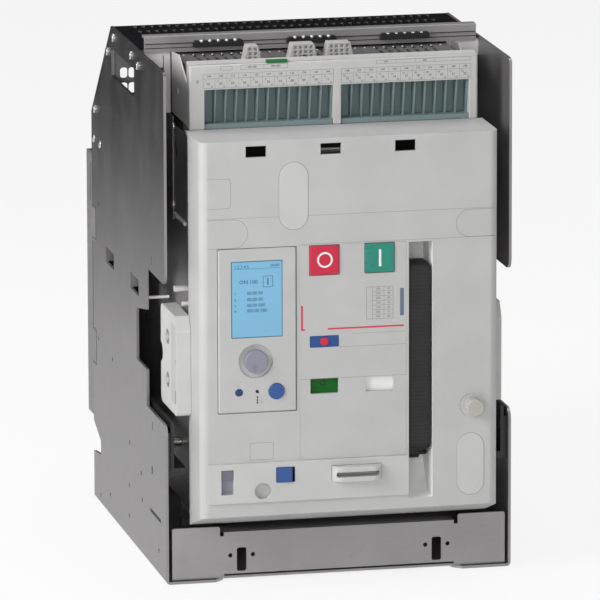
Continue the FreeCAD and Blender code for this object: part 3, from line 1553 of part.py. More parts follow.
def lower_panel():
    """Plate with the racking controls: position window, crank hole, slider and padlock slide."""
    panel = Piece("lower_panel")
    back = -S.cover_front
    front = back - S.lower_proud
    panel.pad("XZ", front, back,
              rectangle(-S.lower_left, S.lower_right, S.lower_bottom, S.lower_top,
                        S.control_corner))
    left = -S.position_window_left
    right = left + S.position_window_width
    top = S.position_window_bottom + S.position_window_height
    wall = S.pocket_wall
    floor = back + S.pocket_depth
    panel.pad("XZ", back, floor + S.pocket_wall, rectangle(
        left - wall, right + wall, S.position_window_bottom - wall, top + wall))
    panel.cut("XZ", front, floor, rectangle(left, right, S.position_window_bottom, top))
    panel.cut(
        "XZ", front, back,
        circle(-S.screw_offset, S.screw_level, S.crank_hole_radius),
        rectangle(-S.slider_left - S.seat_gap,
                  S.slider_width + S.slider_travel + S.seat_gap - S.slider_left,
                  S.slider_bottom - S.seat_gap, S.slider_bottom + S.slider_height + S.seat_gap),
        rectangle(-S.padlock_left, S.padlock_width - S.padlock_left, S.padlock_bottom,
                  S.padlock_bottom + S.padlock_height))


def racking_controls():
    """Position pointer, crank flap, locking slider and padlock slide behind the lower panel."""
    face = -S.cover_front
    gap = S.seat_gap
    left = -S.position_window_left
    top = S.position_window_bottom + S.position_window_height
    pointer = Piece("position_pointer")
    pointer.pad("XZ", face - S.pointer_proud, face + S.pocket_depth - gap, rectangle(
        left + gap, left + S.position_window_width - gap, top - gap - S.pointer_height, top - gap))

    flap = Piece("crank_flap")
    near = face + S.cover_wall + gap
    flap.pad("XZ", near, near + S.flap_gauge, outline(
        (-S.screw_offset, S.screw_level - S.flap_arm), (flap_pivot_x, S.screw_level - S.flap_arm),
        (flap_pivot_x, S.screw_level + S.flap_arm), (-S.screw_offset, S.screw_level + S.flap_arm)))
    flap.pad("XZ", near, near + S.flap_gauge,
             circle(-S.screw_offset, S.screw_level, S.crank_hole_radius + S.flap_overlap),
             circle(flap_pivot_x, S.screw_level, S.flap_arm * 2))
    flap.cut("XZ", near, near + S.flap_gauge,
             circle(flap_pivot_x, S.screw_level, S.flap_pin + S.running_fit))

    slider = Piece("locking_slider")
    shoulder = face + gap
    slider.pad("XZ", face - S.lower_proud - S.slider_proud, shoulder, rectangle(
        -S.slider_left, S.slider_width - S.slider_left, S.slider_bottom,
        S.slider_bottom + S.slider_height))
    slider.pad("XZ", shoulder, face + S.cover_wall - gap, rectangle(
        -S.slider_left - S.slider_flange, S.slider_width + S.slider_flange - S.slider_left,
        S.slider_bottom - S.slider_flange, S.slider_bottom + S.slider_height + S.slider_flange))

    slide = Piece("padlock_slide")
    front = face - S.lower_proud - S.padlock_proud
    near = gap - S.padlock_left
    far = S.padlock_width - S.padlock_left - gap
    foot = S.padlock_bottom + gap
    slide.pad("XY", foot, S.padlock_bottom + S.padlock_height - gap, outline(
        (near, front, S.padlock_bow), (far, front, S.padlock_bow),
        (far, front + S.padlock_length), (near, front + S.padlock_length)))
    throat = foot + S.padlock_lip
    slide.cut("XZ", front, front + S.padlock_grip, rectangle(
        near + S.padlock_end, far - S.padlock_end, throat, throat + S.padlock_throat,
        S.padlock_throat / 3))
    slide.cut("YZ", near, far, circle(
        face + S.padlock_hole, S.padlock_bottom + S.padlock_height / 2, S.padlock_hole_radius))


def racking_screw():
    """Screw that draws the breaker along the chassis nut, with a socket for the crank."""
    screw = Piece("racking_screw")
    middle = -S.screw_offset
    front = -S.screw_front
    back = S.nut_front + S.nut_depth + S.racking_travel
    screw.pad("XZ", front, back, circle(middle, S.screw_level, S.screw_radius))
    beam_back = S.beam_depth + S.plate_gauge
    screw.pad("XZ", beam_back + S.seat_gap, beam_back + S.seat_gap + S.screw_collar, circle(
        middle, S.screw_level, S.screw_collar))
    half = S.screw_socket / 2
    screw.cut("XZ", front, front + 2 * S.screw_socket, rectangle(
        middle - half, middle + half, S.screw_level - half, S.screw_level + half))


def racking_beam():
    """Cross member under the pole case with the bearing of the racking screw."""
    beam = Piece("racking_beam")
    edge = S.side_plate_face - S.seat_gap
    top = S.case_bottom - S.seat_gap
    back = S.beam_depth + S.plate_gauge
    beam.pad("XZ", S.beam_depth, back, rectangle(-edge, edge, S.side_plate_bottom, top))
    beam.pad("XY", top - S.plate_gauge, top,
             rectangle(-edge, edge, S.beam_depth, S.beam_depth + S.beam_flange))
    beam.cut("XZ", S.beam_depth, back,
             circle(-S.screw_offset, S.screw_level, S.screw_radius + S.running_fit))


def terminal_housing():
    """Frame along the top front with two windows for the auxiliary terminal blocks."""
    housing = Piece("terminal_housing")
    edge = S.housing_half_width
    front = S.housing_front
    housing.pad("YZ", -edge, edge, outline(
        (front, S.cover_top), (S.housing_back, S.cover_top), (S.housing_back, S.housing_top),
        (front, S.housing_brow)))
    housing.soften("Fillet", S.housing_edge, lambda rim: (
        runs_along(rim, "x", ("y", front), ("z", S.housing_brow))
        or runs_along(rim, "z", ("x", edge), ("y", front))
        or runs_along(rim, "z", ("x", -edge), ("y", front))))
    housing.cut("XZ", front, S.housing_back, *[
        rectangle(left, left + S.housing_window_width, S.cover_top, S.housing_window_top)
        for left in (-S.housing_window_left, S.housing_window_right)])


def terminal_blocks():
    """Auxiliary terminals: two stepped blocks with a row of slanted partitions each."""
    blocks = Piece("terminal_blocks")
    gap = S.seat_gap
    back = S.housing_front + S.housing_window_depth - gap
    bottom = S.cover_top
    shelf = bottom + S.ledge_height
    top = S.housing_window_top - gap
    front = S.housing_front
    for left in (-S.housing_window_left, S.housing_window_right):
        near = left + gap
        far = left + S.housing_window_width - gap
        blocks.pad("YZ", near, far, outline(
            (front + S.ledge_set, bottom), (back, bottom), (back, top),
            (back - S.ledge_depth, top), (back - S.ledge_depth, shelf),
            (front + S.ledge_set, shelf)))
        pitch = (far - near - S.fin_gauge) / S.fin_count
        fin = blocks.pad("YZ", near, near + S.fin_gauge, outline(
            (front + S.fin_top_set, top), (back, top), (back, shelf),
            (front + S.fin_foot_set, shelf)))
        blocks.repeat(fin, "N_Axis", int(S.fin_count.value) + 1, pitch)


def auxiliary_plugs():
    """Three plug blocks that stand on the front of the arc chutes, with rows of sockets."""
    plugs = Piece("auxiliary_plugs")
    front = S.chute_cap_front
    for left, right, columns in plug_places:
        plugs.pad("XZ", front, front + S.plug_depth, outline(
            (left, S.chute_top), (right, S.chute_top), (right - S.plug_taper, S.plug_top, 1),
            (left + S.plug_taper, S.plug_top, 1)))
        first = (left + right) / 2 - S.plug_pitch * (columns - 1) / 2 - S.plug_pocket / 2
        lowest = S.chute_top + S.plug_pocket
        plugs.cut("XZ", front, front + S.plug_pocket, *[
            rectangle(first + S.plug_pitch * i, first + S.plug_pitch * i + S.plug_pocket,
                      lowest + S.plug_rise * j, lowest + S.plug_rise * j + S.plug_pocket)
            for i in range(columns) for j in range(3)])


def side_grips():
    """Lifting grips on the breaker's sides, with a groove near the front and a notch behind."""
    grips = Piece("side_grips")
    front = -S.grip_front
    level = (S.grip_bottom + S.grip_top) / 2
    for side in (-1, 1):
        grips.pad("YZ", *span(side, S.grip_inner, S.grip_outer), outline(
            (front, S.grip_bottom, S.grip_corner / 2), (S.grip_back, S.grip_bottom, S.grip_corner),
            (S.grip_back, S.grip_top, S.grip_corner), (front + S.grip_corner, S.grip_top),
            (front, S.grip_top - S.grip_corner * 2)))
        base = span(side, S.side_plate_face + S.side_plate_gauge + S.seat_gap, S.grip_inner)
        grips.pad("YZ", *base, rectangle(
            S.cover_back + S.grip_corner / 2, S.grip_back - S.grip_corner,
            S.grip_bottom + S.grip_corner, S.grip_top - S.grip_corner))
        grips.cut("YZ", *span(side, S.grip_inner, S.grip_outer),
                  circle(S.grip_back, level, S.grip_notch))
        face = span(side, S.grip_outer - S.grip_groove_depth, S.grip_outer)
        grips.cut("YZ", *face, stadium(front + S.grip_groove_set, level, S.grip_groove,
                                       S.grip_top - S.grip_bottom - S.grip_corner * 4))


def grip_screws():
    """Screw heads in the side grips."""
    screws = Piece("grip_screws")
    for side in (-1, 1):
        screws.pad("YZ", *span(side, S.grip_outer, S.grip_outer + S.screw_head), *[
            circle(S.grip_screw_depth, S.grip_bottom + rise, S.grip_screw_radius)
            for rise in (S.grip_screw_low, S.grip_screw_high)])


def mechanism_frame():
    """Two steel cheeks behind the fascia, held apart by spacers."""
    frame = Piece("mechanism_frame")
    left = (-S.frame_left, S.frame_gauge - S.frame_left)
    right = (S.frame_right - S.frame_gauge, S.frame_right)
    front = -S.frame_front
    for cheek in (left, right):
        frame.pad("YZ", *cheek, outline(
            (front, S.frame_bottom + S.frame_cut), (front + S.frame_cut, S.frame_bottom),
            (S.frame_back, S.frame_bottom), (S.frame_back, S.frame_top),
            (front + S.frame_cut, S.frame_top), (front, S.frame_top - S.frame_cut)))
    inset = S.spacer_inset
    frame.pad("YZ", left[1], right[0],
              circle(S.frame_back - inset, S.frame_bottom + inset, S.spacer_radius),
              circle(S.frame_back - inset, S.frame_top - inset, S.spacer_radius),
              circle(front + S.frame_cut + inset, S.frame_top - inset, S.spacer_radius),
              circle(S.spring_depth, S.spring_top + S.spacer_radius, S.spacer_radius))
    frame.cut("YZ", -S.frame_left, S.frame_right,
              circle(S.cam_depth, S.cam_level, S.cam_shaft_radius + S.running_fit))


def charging_shaft():
    """Shaft across the cheeks that winds the closing springs."""
    shaft = Piece("charging_shaft")
    shaft.pad("YZ", -S.frame_left - S.frame_gauge, S.frame_right + S.ratchet_gap + S.ratchet_gauge,
              circle(S.cam_depth, S.cam_level, S.cam_shaft_radius))
    for side in (-1, 1):
        shaft.pad("YZ", *span(side, S.crank_offset, S.crank_offset + S.crank_gauge), outline(
            (S.cam_depth - S.cam_shaft_radius, S.cam_level),
            (S.cam_depth - S.cam_shaft_radius, S.cam_level + S.crank_reach, 3),
            (S.cam_depth + S.cam_shaft_radius, S.cam_level + S.crank_reach, 3),
            (S.cam_depth + S.cam_shaft_radius, S.cam_level)))


def ratchet_wheel():
    """Saw-toothed wheel on the end of the charging shaft."""
    wheel = Piece("ratchet_wheel")
    near = S.frame_right + S.ratchet_gap
    far = near + S.ratchet_gauge
    count = int(S.ratchet_teeth.value)
    corners = []
    for i in range(count):
        for share, reach in ((0, S.ratchet_radius), (0, S.ratchet_radius + S.ratchet_tooth)):
            angle = Size.of(360 * (i + share)) / S.ratchet_teeth
            corners.append((S.cam_depth + reach * angle.cosine(),
                            S.cam_level + reach * angle.sine()))
    wheel.pad("YZ", near, far, outline(*corners))
    wheel.cut("YZ", near, far, circle(S.cam_depth, S.cam_level, S.cam_shaft_radius))


def closing_springs():
    """Two compression springs beside the charging shaft, under the upper spacer."""
    springs = Piece("closing_springs")
    for side in (-1, 1):
        x = S.spring_offset * side
        springs.pad("XY", S.spring_bottom, S.spring_top,
                    circle(x, S.spring_depth, S.spring_radius))
        springs.cut("XY", S.spring_bottom, S.spring_top,
                    circle(x, S.spring_depth, S.spring_radius - S.spring_wire))


fascia_right = S.trough_left - S.trough_wall - S.seam
flap_pivot_x = -S.screw_offset + S.flap_reach
trip_level = S.trip_window_bottom + S.trip_window_height / 2
flag_places = (-S.contact_window_x, S.charge_window_x)
plug_places = (
    (-S.narrow_plug_left, S.narrow_plug_width - S.narrow_plug_left, 2),
    (-S.middle_plug_left, S.wide_plug_width - S.middle_plug_left, 4),
    (S.right_plug_left, S.right_plug_left + S.wide_plug_width, 4),
)

side_plate(-1, "side_plate_left")
side_plate(1, "side_plate_right")
base_tray()
rear_panel()
rear_base()
fixed_terminals()
shutter_guides()
shutter("upper_shutter", S.upper_terminal, 1)
shutter("lower_shutter", S.lower_terminal, -1)
top_cross_rail()
top_mesh()
contact_combs()
corner_brackets()
fixed_rails()
chassis_rivets()
racking_nut()
extension_rails()
breaker_sides()
carriage_rollers()
pole_case()
moving_contacts()
main_shaft()
conductor_bars()
isolating_jaws()
current_transformers()
rear_cover()
arc_chutes()
splitter_plates()
front_cover()
cover_blanks()
fascia()
flag("contact_flag", flag_places[0])
flag("charge_flag", flag_places[1])
push_buttons()
protection_unit()
lcd_screen()
nav_knob()
charging_handle()
handle_pin()
lower_panel()
racking_controls()
racking_screw()
racking_beam()
terminal_housing()
terminal_blocks()
auxiliary_plugs()
side_grips()
grip_screws()
mechanism_frame()
charging_shaft()
ratchet_wheel()
closing_springs()

document.recompute()
for thing in document.Objects:
    if "Invalid" in thing.State or "Error" in thing.State:
        raise RuntimeError(f"{thing.Label} did not build: {thing.State}")
for body in Piece.made:
    if body.Shape.isNull() or not body.Shape.isValid():
        raise RuntimeError(f"{body.Label} has no valid shape")

os.makedirs("parts", exist_ok=True)
for body in Piece.made:
    body.Shape.exportStep(f"parts/{body.Label}.step")
print(len(Piece.made), "sub-parts written")
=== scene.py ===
# %% [markdown]
# # A draw-out air circuit breaker, dressed for the studio
# The engineering model comes packed as a frame of named pieces that ride on named bodies.
# This lesson gives each of them its finish, rounds the moulded ones, and adds what a mould, a
# press or a printing plate would add: seams, symbols, labels and small steel.

# %% Load the frame
import json
import math

import bmesh
import bpy
from mathutils import Matrix, Vector


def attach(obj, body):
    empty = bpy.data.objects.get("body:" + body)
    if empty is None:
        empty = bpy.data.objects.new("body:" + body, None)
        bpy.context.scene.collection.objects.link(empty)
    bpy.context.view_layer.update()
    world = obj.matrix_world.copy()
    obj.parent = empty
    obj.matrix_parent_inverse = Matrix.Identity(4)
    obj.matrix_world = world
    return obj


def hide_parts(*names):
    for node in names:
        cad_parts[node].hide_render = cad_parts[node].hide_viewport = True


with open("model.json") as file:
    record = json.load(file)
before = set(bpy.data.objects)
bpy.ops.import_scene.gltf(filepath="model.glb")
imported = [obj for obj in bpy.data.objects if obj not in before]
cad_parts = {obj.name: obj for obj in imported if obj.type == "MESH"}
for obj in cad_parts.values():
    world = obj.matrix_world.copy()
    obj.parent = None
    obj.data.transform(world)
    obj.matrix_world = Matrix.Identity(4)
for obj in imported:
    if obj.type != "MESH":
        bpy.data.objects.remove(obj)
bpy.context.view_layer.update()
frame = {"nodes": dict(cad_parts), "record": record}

# %% [markdown]
# Drawings of such a breaker give every size in millimetres, from the front edge of the steel
# side plates. Blender works in metres from the middle of the four fixing holes. The numbers
# could be converted by hand, but one small function keeps those of the drawing readable.

# %% Places in drawing millimetres
MM_PER_METRE = 1000
FIXING_CENTRE = 175.0
SIDES = (-1, 1)


def at(x, y, z):
    """Metres, from millimetres to the right, behind the plates' front edge, and above the feet."""
    return Vector((x, y - FIXING_CENTRE, z)) / MM_PER_METRE


def mm(value):
    return value / MM_PER_METRE


print("the plates' front edge stands at", tuple(round(v, 4) for v in at(0, 0, 0)))

# %% [markdown]
# ## Building materials from nodes
# A material is a small tree of nodes around one Principled shader. Pictures of surfaces would
# need every piece laid out flat, so the patterns here are noise in Object coordinates, which
# has no seams and doesn't slide when a piece moves. Numbers that are the same all over a
# surface go straight on the shader's sockets.

# %% Adding a node to a tree


def connect(tree, socket, value):
    """Links a socket to another one, or sets it to a plain value."""
    if isinstance(value, bpy.types.NodeSocket):
        tree.links.new(value, socket)
    else:
        socket.default_value = value


def add_node(tree, kind, inputs=None, **settings):
    node = tree.nodes.new(kind)
    for key, value in settings.items():
        setattr(node, key, value)
    for key, value in (inputs or {}).items():
        connect(tree, node.inputs[key], value)
    return node


print("node helpers ready")

# %% [markdown]
# Every finish below needs the same few steps: a noise, a stretch of its values, a blend of two
# colours. They could be written out each time; a class with a short call for each step keeps a
# finish to a few lines that read like a recipe.

# %% A material with short calls for its nodes
NOISE_LOW, NOISE_HIGH = 0.3, 0.7


class Finish:
    """One material, with short calls that add its nodes."""

    def __init__(self, name):
        self.material = bpy.data.materials.new(name)
        self.material.use_nodes = True
        self.tree = self.material.node_tree
        self.shader = self.tree.nodes["Principled BSDF"]
        coordinates = self.add("ShaderNodeTexCoord")
        self.place = coordinates.outputs["Object"]
        self.facing = coordinates.outputs["Normal"]

    def add(self, kind, inputs=None, **settings):
        return add_node(self.tree, kind, inputs, **settings)

    def one_axis(self, vector, axis):
        """One part of a vector, as a value."""
        return self.add("ShaderNodeSeparateXYZ", {"Vector": vector}).outputs[axis]

    def stretched(self, x, y, z):
        """Object coordinates scaled by a factor on each axis."""
        return self.add("ShaderNodeMapping",
                        {"Vector": self.place, "Scale": (x, y, z)}).outputs["Vector"]

    def noise(self, size_mm, detail=2.0, vector=None):
        return self.add("ShaderNodeTexNoise", {
            "Vector": vector or self.place, "Scale": MM_PER_METRE / size_mm, "Detail": detail,
        }).outputs["Fac"]

    def spread(self, value, low, high, to_low=0.0, to_high=1.0):
        """A value's stretch from low to high becomes to_low to to_high."""
        return self.add("ShaderNodeMapRange", {
            "Value": value, "From Min": low, "From Max": high,
            "To Min": to_low, "To Max": to_high}).outputs["Result"]

    def clouded(self, noise, to_low=0.0, to_high=1.0):
        """The range that a noise mostly keeps to becomes to_low to to_high."""
        return self.spread(noise, NOISE_LOW, NOISE_HIGH, to_low, to_high)

    def math(self, operation, first, second=0.0):
        return self.add("ShaderNodeMath", {0: first, 1: second}, operation=operation).outputs[0]

    def blend(self, factor, first, second, kind="MIX"):
        """A colour between two colours."""
        return self.add("ShaderNodeMix", {0: factor, 6: first, 7: second}, data_type="RGBA",
                        blend_type=kind).outputs[2]

    def ramp(self, value, stops):
        """A grey that runs through (place, strength) stops."""
        node = self.add("ShaderNodeValToRGB", {"Fac": value})
        points = node.color_ramp.elements
        while len(points) < len(stops):
            points.new(1.0)
        for point, (place, strength) in zip(points, stops):
            point.position = place
            point.color = (strength, strength, strength, 1.0)
        return node.outputs["Color"]

    def set(self, **sockets):
        for name, value in sockets.items():
            connect(self.tree, self.shader.inputs[name.replace("_", " ")], value)

    def bump(self, height, depth_mm, strength=1.0):
        node = self.add("ShaderNodeBump", {
            "Height": height, "Distance": mm(depth_mm), "Strength": strength})
        self.set(Normal=node.outputs["Normal"])


def shade(colour, factor):
    """A colour with an alpha, darkened or lightened by a factor."""
    return tuple(min(1.0, part * factor) for part in colour[:3]) + (1.0,)


print("finish builder ready")

# %% [markdown]
# ## Moulded plastic
# Covers, buttons and cases are injection moulded. The real surface has a fine spark-eroded
# grain, a faint mottle from the flow of the melt, and a slightly glossier look where hands
# have rubbed it. The grain is far too fine to model, so it goes into the bump, the mottle goes
# into the colour and the rubbing into the roughness.

# %% Finish for moulded plastic
FLOW_MM, SPECK_MM = 38.0, 2.2
MOTTLE, SPECK_STRENGTH, SPECK_SHADE = 0.035, 0.12, 0.72


def moulded(name, colour, roughness=0.5, grain_mm=0.35, grain_depth=0.03, gloss=0.4):
    finish = Finish(name)
    flow = finish.noise(FLOW_MM, 3.0)
    speck = finish.spread(finish.noise(SPECK_MM, 4.0), 0.62, 0.72)
    base = finish.blend(finish.clouded(flow), shade(colour, 1 - MOTTLE), shade(colour, 1 + MOTTLE))
    base = finish.blend(finish.math("MULTIPLY", speck, SPECK_STRENGTH), base,
                        shade(colour, SPECK_SHADE))
    finish.set(Base_Color=base, Specular_IOR_Level=gloss,
               Roughness=finish.clouded(flow, roughness - 0.05, roughness + 0.07))
    finish.bump(finish.noise(grain_mm, 1.5), grain_depth)
    return finish.material


print("moulded plastic ready")

# %% [markdown]
# ## Sheet steel
# The side plates and the tray are cold-rolled sheet, zinc plated and then passivated. Rolling
# leaves fine streaks along one direction, the zinc shows clouds and small stains, and sheared
# edges are bare. Faces that look forward are blended towards bare steel, partly for that and
# partly as a painted highlight on the plates' front edges and in the holes of the black mesh.
# Scratches could be cut into the mesh one by one; noise that is squeezed across the sheet and
# drawn out along it gives thousands of streaks from one node.

# %% Finish for rolled sheet
STREAK_MM, CLOUD_MM, STAIN_MM = 0.8, 45.0, 9.0
DRAWN_OUT = 0.04
LEVELS_HEIGHT = 500.0
BARE_STEEL_AND_HIGHLIGHT = (0.3, 0.292, 0.295, 1.0)
SIDEWAYS, FORWARD = -0.8, -0.97


def levelled(finish, base, cloud, painted_shade_levels):
    """Paints shade towards the top, by (height in mm, strength) steps with a soft border."""
    wander = finish.math("ADD", finish.one_axis(finish.place, "Z"),
                         finish.spread(cloud, 0.0, 1.0, mm(-6.0), mm(6.0)))
    depth = finish.ramp(finish.spread(wander, 0.0, mm(LEVELS_HEIGHT)),
                        [(height / LEVELS_HEIGHT, strength) for height, strength in painted_shade_levels])
    return finish.blend(1.0, base, depth, "MULTIPLY")


def rolled_sheet(name, colour, roughness=0.38, along="z", painted_shade_levels=None, metal=0.45,
                 gloss=0.2, tint=0.3, bare_edge_and_highlight=0.0):
    finish = Finish(name)
    squeeze = [DRAWN_OUT if axis == along else 1.0 for axis in "xyz"]
    streak = finish.noise(STREAK_MM, 3.0, finish.stretched(*squeeze))
    cloud = finish.noise(CLOUD_MM, 4.0)
    stain = finish.spread(finish.noise(STAIN_MM, 6.0), 0.6, 0.75)
    base = finish.blend(finish.clouded(cloud), shade(colour, 0.93), shade(colour, 1.06))
    base = finish.blend(finish.math("MULTIPLY", stain, 0.16), base, shade(colour, 0.7))
    base = finish.blend(finish.spread(streak, 0.35, 0.65, 0.0, 0.1), base, shade(colour, 1.25))
    # Painted shade: the colour darkens towards the top.
    if painted_shade_levels is not None:
        base = levelled(finish, base, cloud, painted_shade_levels)
    # Faces that look forward blend towards bare steel: partly bare cut edges, partly a painted
    # highlight.
    if bare_edge_and_highlight:
        forward = finish.spread(finish.one_axis(finish.facing, "Y"), SIDEWAYS, FORWARD)
        base = finish.blend(finish.math("MULTIPLY", forward, bare_edge_and_highlight), base, BARE_STEEL_AND_HIGHLIGHT)
    finish.set(Base_Color=base, Metallic=metal, Specular_IOR_Level=gloss,
               Specular_Tint=(tint, tint, tint, 1.0),
               Roughness=finish.clouded(cloud, roughness - 0.06, roughness + 0.08))
    finish.bump(streak, 0.02, 0.6)
    return finish.material


print("rolled sheet ready")

# %% [markdown]
# ## Turned and plated metal
# Pins, rollers, screws and rivets are bright, with fine tool marks. Silvered copper is the same
# with a warm colour and brown clouds where air has tarnished it. One recipe serves both, since
# only its colours and the strength of the tarnish differ.

# %% Finish for bright metal
TOOL_MARK_MM, TARNISH_MM = 0.5, 14.0
DULL_STEEL = (0.2, 0.19, 0.18)


def bright_metal(name, colour, roughness=0.25, tarnish=0.25, tarnish_colour=DULL_STEEL):
    finish = Finish(name)
    marks = finish.noise(TOOL_MARK_MM, 2.0, finish.stretched(0.15, 1, 1))
    cloud = finish.noise(TARNISH_MM, 5.0)
    patch = finish.spread(cloud, 0.45, 0.75)
    base = finish.blend(finish.math("MULTIPLY", patch, tarnish), shade(colour, 1.0),
                        shade(tarnish_colour, 1.0))
    finish.set(Base_Color=base, Metallic=1.0,
               Roughness=finish.clouded(cloud, roughness - 0.05, roughness + 0.12))
    finish.bump(marks, 0.015, 0.5)
    return finish.material


print("bright metal ready")

# %% [markdown]
# ## Ink
# Symbols are printed or moulded in a second colour. Print could be an image on the face, but a
# thin shape with an ink of its own stays sharp at any distance. A little wear and a change in
# roughness keep it from looking like a hole in the picture.

# %% Finish for ink
INK_ROUGHNESS, INK_GLOSS = 0.55, 0.2
WEAR_MM, WEAR_STRENGTH = 1.6, 0.18


def ink(name, colour):
    finish = Finish(name)
    wear = finish.spread(finish.noise(WEAR_MM, 4.0), 0.55, 0.8)
    base = finish.blend(finish.math("MULTIPLY", wear, WEAR_STRENGTH), shade(colour, 1.0),
                        shade(colour, 1.35))
    finish.set(Base_Color=base, Specular_IOR_Level=INK_GLOSS,
               Roughness=finish.clouded(finish.noise(6.0), INK_ROUGHNESS - 0.08,
                                        INK_ROUGHNESS + 0.08))
    return finish.material


print("ink ready")

# %% [markdown]
# ## The palette
# One table names every finish of the object, so that a colour is found and changed in one
# place. The colours are linear: a value of 0.5 looks like a light grey on screen. The metals
# come first. The plates have shade painted into their colour: brightest near the floor and
# darker towards the top.

# %% Steels and copper
ZINC = (0.42, 0.408, 0.412)
# Painted shade: (height in mm, strength) steps that darken each plate towards the top.
LEFT_PAINTED_SHADE = ((0, 1.0), (200, 0.93), (300, 0.72), (400, 0.42), (470, 0.34))
RIGHT_PAINTED_SHADE = ((0, 0.95), (250, 0.7), (470, 0.7))
finishes = {
    "plate_steel": rolled_sheet("zinc_plate", ZINC, 0.36, painted_shade_levels=LEFT_PAINTED_SHADE, metal=0.8,
                                gloss=0.3, tint=0.6, bare_edge_and_highlight=0.9),
    # The right plate: the same zinc with its own, lighter painted shade.
    "right_steel": rolled_sheet("zinc_right", ZINC, 0.33, painted_shade_levels=RIGHT_PAINTED_SHADE, metal=0.6,
                                gloss=0.3, tint=0.6, bare_edge_and_highlight=0.9),
    "tray_steel": rolled_sheet("zinc_tray", (0.33, 0.32, 0.325), 0.42, along="x"),
    "bracket_steel": rolled_sheet("zinc_bracket", (0.82, 0.8, 0.8), 0.5, metal=0.15),
    "gusset_steel": rolled_sheet("zinc_gusset", (0.6, 0.585, 0.585), 0.62, metal=0.0, gloss=0.1),
    "dark_steel": rolled_sheet("zinc_inner", (0.42, 0.41, 0.415), 0.32, metal=0.5, tint=0.6),
    "mesh_steel": rolled_sheet("black_mesh", (0.012, 0.012, 0.013), 0.6, along="x", metal=0.0,
                               gloss=0.0, bare_edge_and_highlight=0.55),
    "rail_steel": rolled_sheet("drawn_rail", (0.06, 0.058, 0.058), 0.3, along="y"),
    "bright_steel": bright_metal("bright_pin", (0.62, 0.61, 0.6)),
    "rivet_steel": bright_metal("plated_rivet", (0.7, 0.69, 0.68), 0.3),
    "spring_steel": bright_metal("oiled_spring", (0.18, 0.175, 0.17), 0.35),
    "copper": bright_metal("silvered_copper", (0.72, 0.5, 0.38), 0.3, 0.5, (0.3, 0.14, 0.07)),
}
print(len(finishes), "metals")

# %% [markdown]
# The mouldings share one recipe and differ in colour, roughness and grain. Buttons are polished
# in the mould, so their grain is finer and shallower than that of the covers.

# %% Mouldings
COVER_GREY = (0.5, 0.5, 0.495)
FINE_GRAIN, SHALLOW = 0.3, 0.01
finishes.update({
    "black_moulding": moulded("black_moulding", (0.012, 0.012, 0.013), 0.45),
    "case_moulding": moulded("case_moulding", (0.03, 0.028, 0.027), 0.55, 0.6),
    "vent_moulding": moulded("vent_moulding", (0.115, 0.11, 0.111), 0.6, 0.5),
    "cover_moulding": moulded("cover_moulding", COVER_GREY),
    "fascia_moulding": moulded("fascia_moulding", COVER_GREY),
    "panel_moulding": moulded("panel_moulding", (0.54, 0.54, 0.525), 0.48),
    "fin_moulding": moulded("fin_moulding", (0.2, 0.265, 0.268)),
    "plug_moulding": moulded("plug_moulding", (0.52, 0.51, 0.49)),
    "grip_moulding": moulded("grip_moulding", (0.55, 0.55, 0.54)),
    # Darker than the grip: painted shade for its shallow channel.
    "shaded_grip_channel": moulded("shaded_grip_channel", (0.46, 0.46, 0.45)),
    # Lighter than the cover: painted light for the deep trough.
    "trough_painted_light": moulded("trough_painted_light", (0.86, 0.86, 0.855)),
    "handle_moulding": moulded("handle_moulding", (0.02, 0.02, 0.02), 0.6, FINE_GRAIN,
                               gloss=0.15),
    "knob_moulding": moulded("knob_moulding", (0.25, 0.25, 0.31), 0.4, FINE_GRAIN),
    "plunger_moulding": moulded("plunger_moulding", (0.45, 0.435, 0.4), 0.35, FINE_GRAIN),
    "indicator_grey": moulded("indicator_moulding", (0.155, 0.155, 0.19), 0.4, FINE_GRAIN),
    "red_button": moulded("red_moulding", (0.58, 0.018, 0.055), 0.3, FINE_GRAIN, SHALLOW),
    "green_button": moulded("green_moulding", (0.02, 0.24, 0.175), 0.3, FINE_GRAIN, SHALLOW),
    "blue_button": moulded("blue_moulding", (0.03, 0.09, 0.29), 0.32, FINE_GRAIN, SHALLOW),
    "navy_button": moulded("navy_moulding", (0.014, 0.045, 0.16), 0.32, FINE_GRAIN, SHALLOW),
    "green_key": moulded("green_key", (0.005, 0.13, 0.03), 0.4, FINE_GRAIN, SHALLOW),
})
print(len(finishes), "finishes with the mouldings")

# %% [markdown]
# Inks follow the same pattern. Three of them are shadows: a seam, a gap or a bezel that is too
# thin to be cut into the mesh is drawn as a strip in the grey that its depth would have.

# %% Inks and shadows
INK_COLOURS = {
    "flag_white": (0.84, 0.84, 0.83), "flag_green": (0.006, 0.115, 0.012),
    "black_ink": (0.02, 0.02, 0.022), "grey_ink": (0.22, 0.22, 0.22),
    "red_ink": (0.62, 0.05, 0.09), "yellow_ink": (0.72, 0.42, 0.02),
    "white_ink": (0.85, 0.85, 0.85), "slate_ink": (0.14, 0.17, 0.25),
    "blue_ink": (0.03, 0.085, 0.26), "screen_ink": (0.035, 0.14, 0.24),
    "seam_shadow": (0.24, 0.24, 0.24), "gap_shadow": (0.1, 0.1, 0.1),
    "bezel_shadow": (0.29, 0.29, 0.285), "window_grey": (0.26, 0.26, 0.31),
}
for name, colour in INK_COLOURS.items():
    finishes[name] = ink(name, colour)
print(len(finishes), "finishes with the inks")

# %% [markdown]
# ## The screen
# A liquid crystal screen is a lit sheet behind clear plastic. Its cells are far too small to
# model, so a checker of two close blues stands for them, and a little emission lights it.

# %% Finish for the lit screen
SCREEN_BLUE = (0.158, 0.365, 0.526)
CELLS_PER_METRE = 1700.0


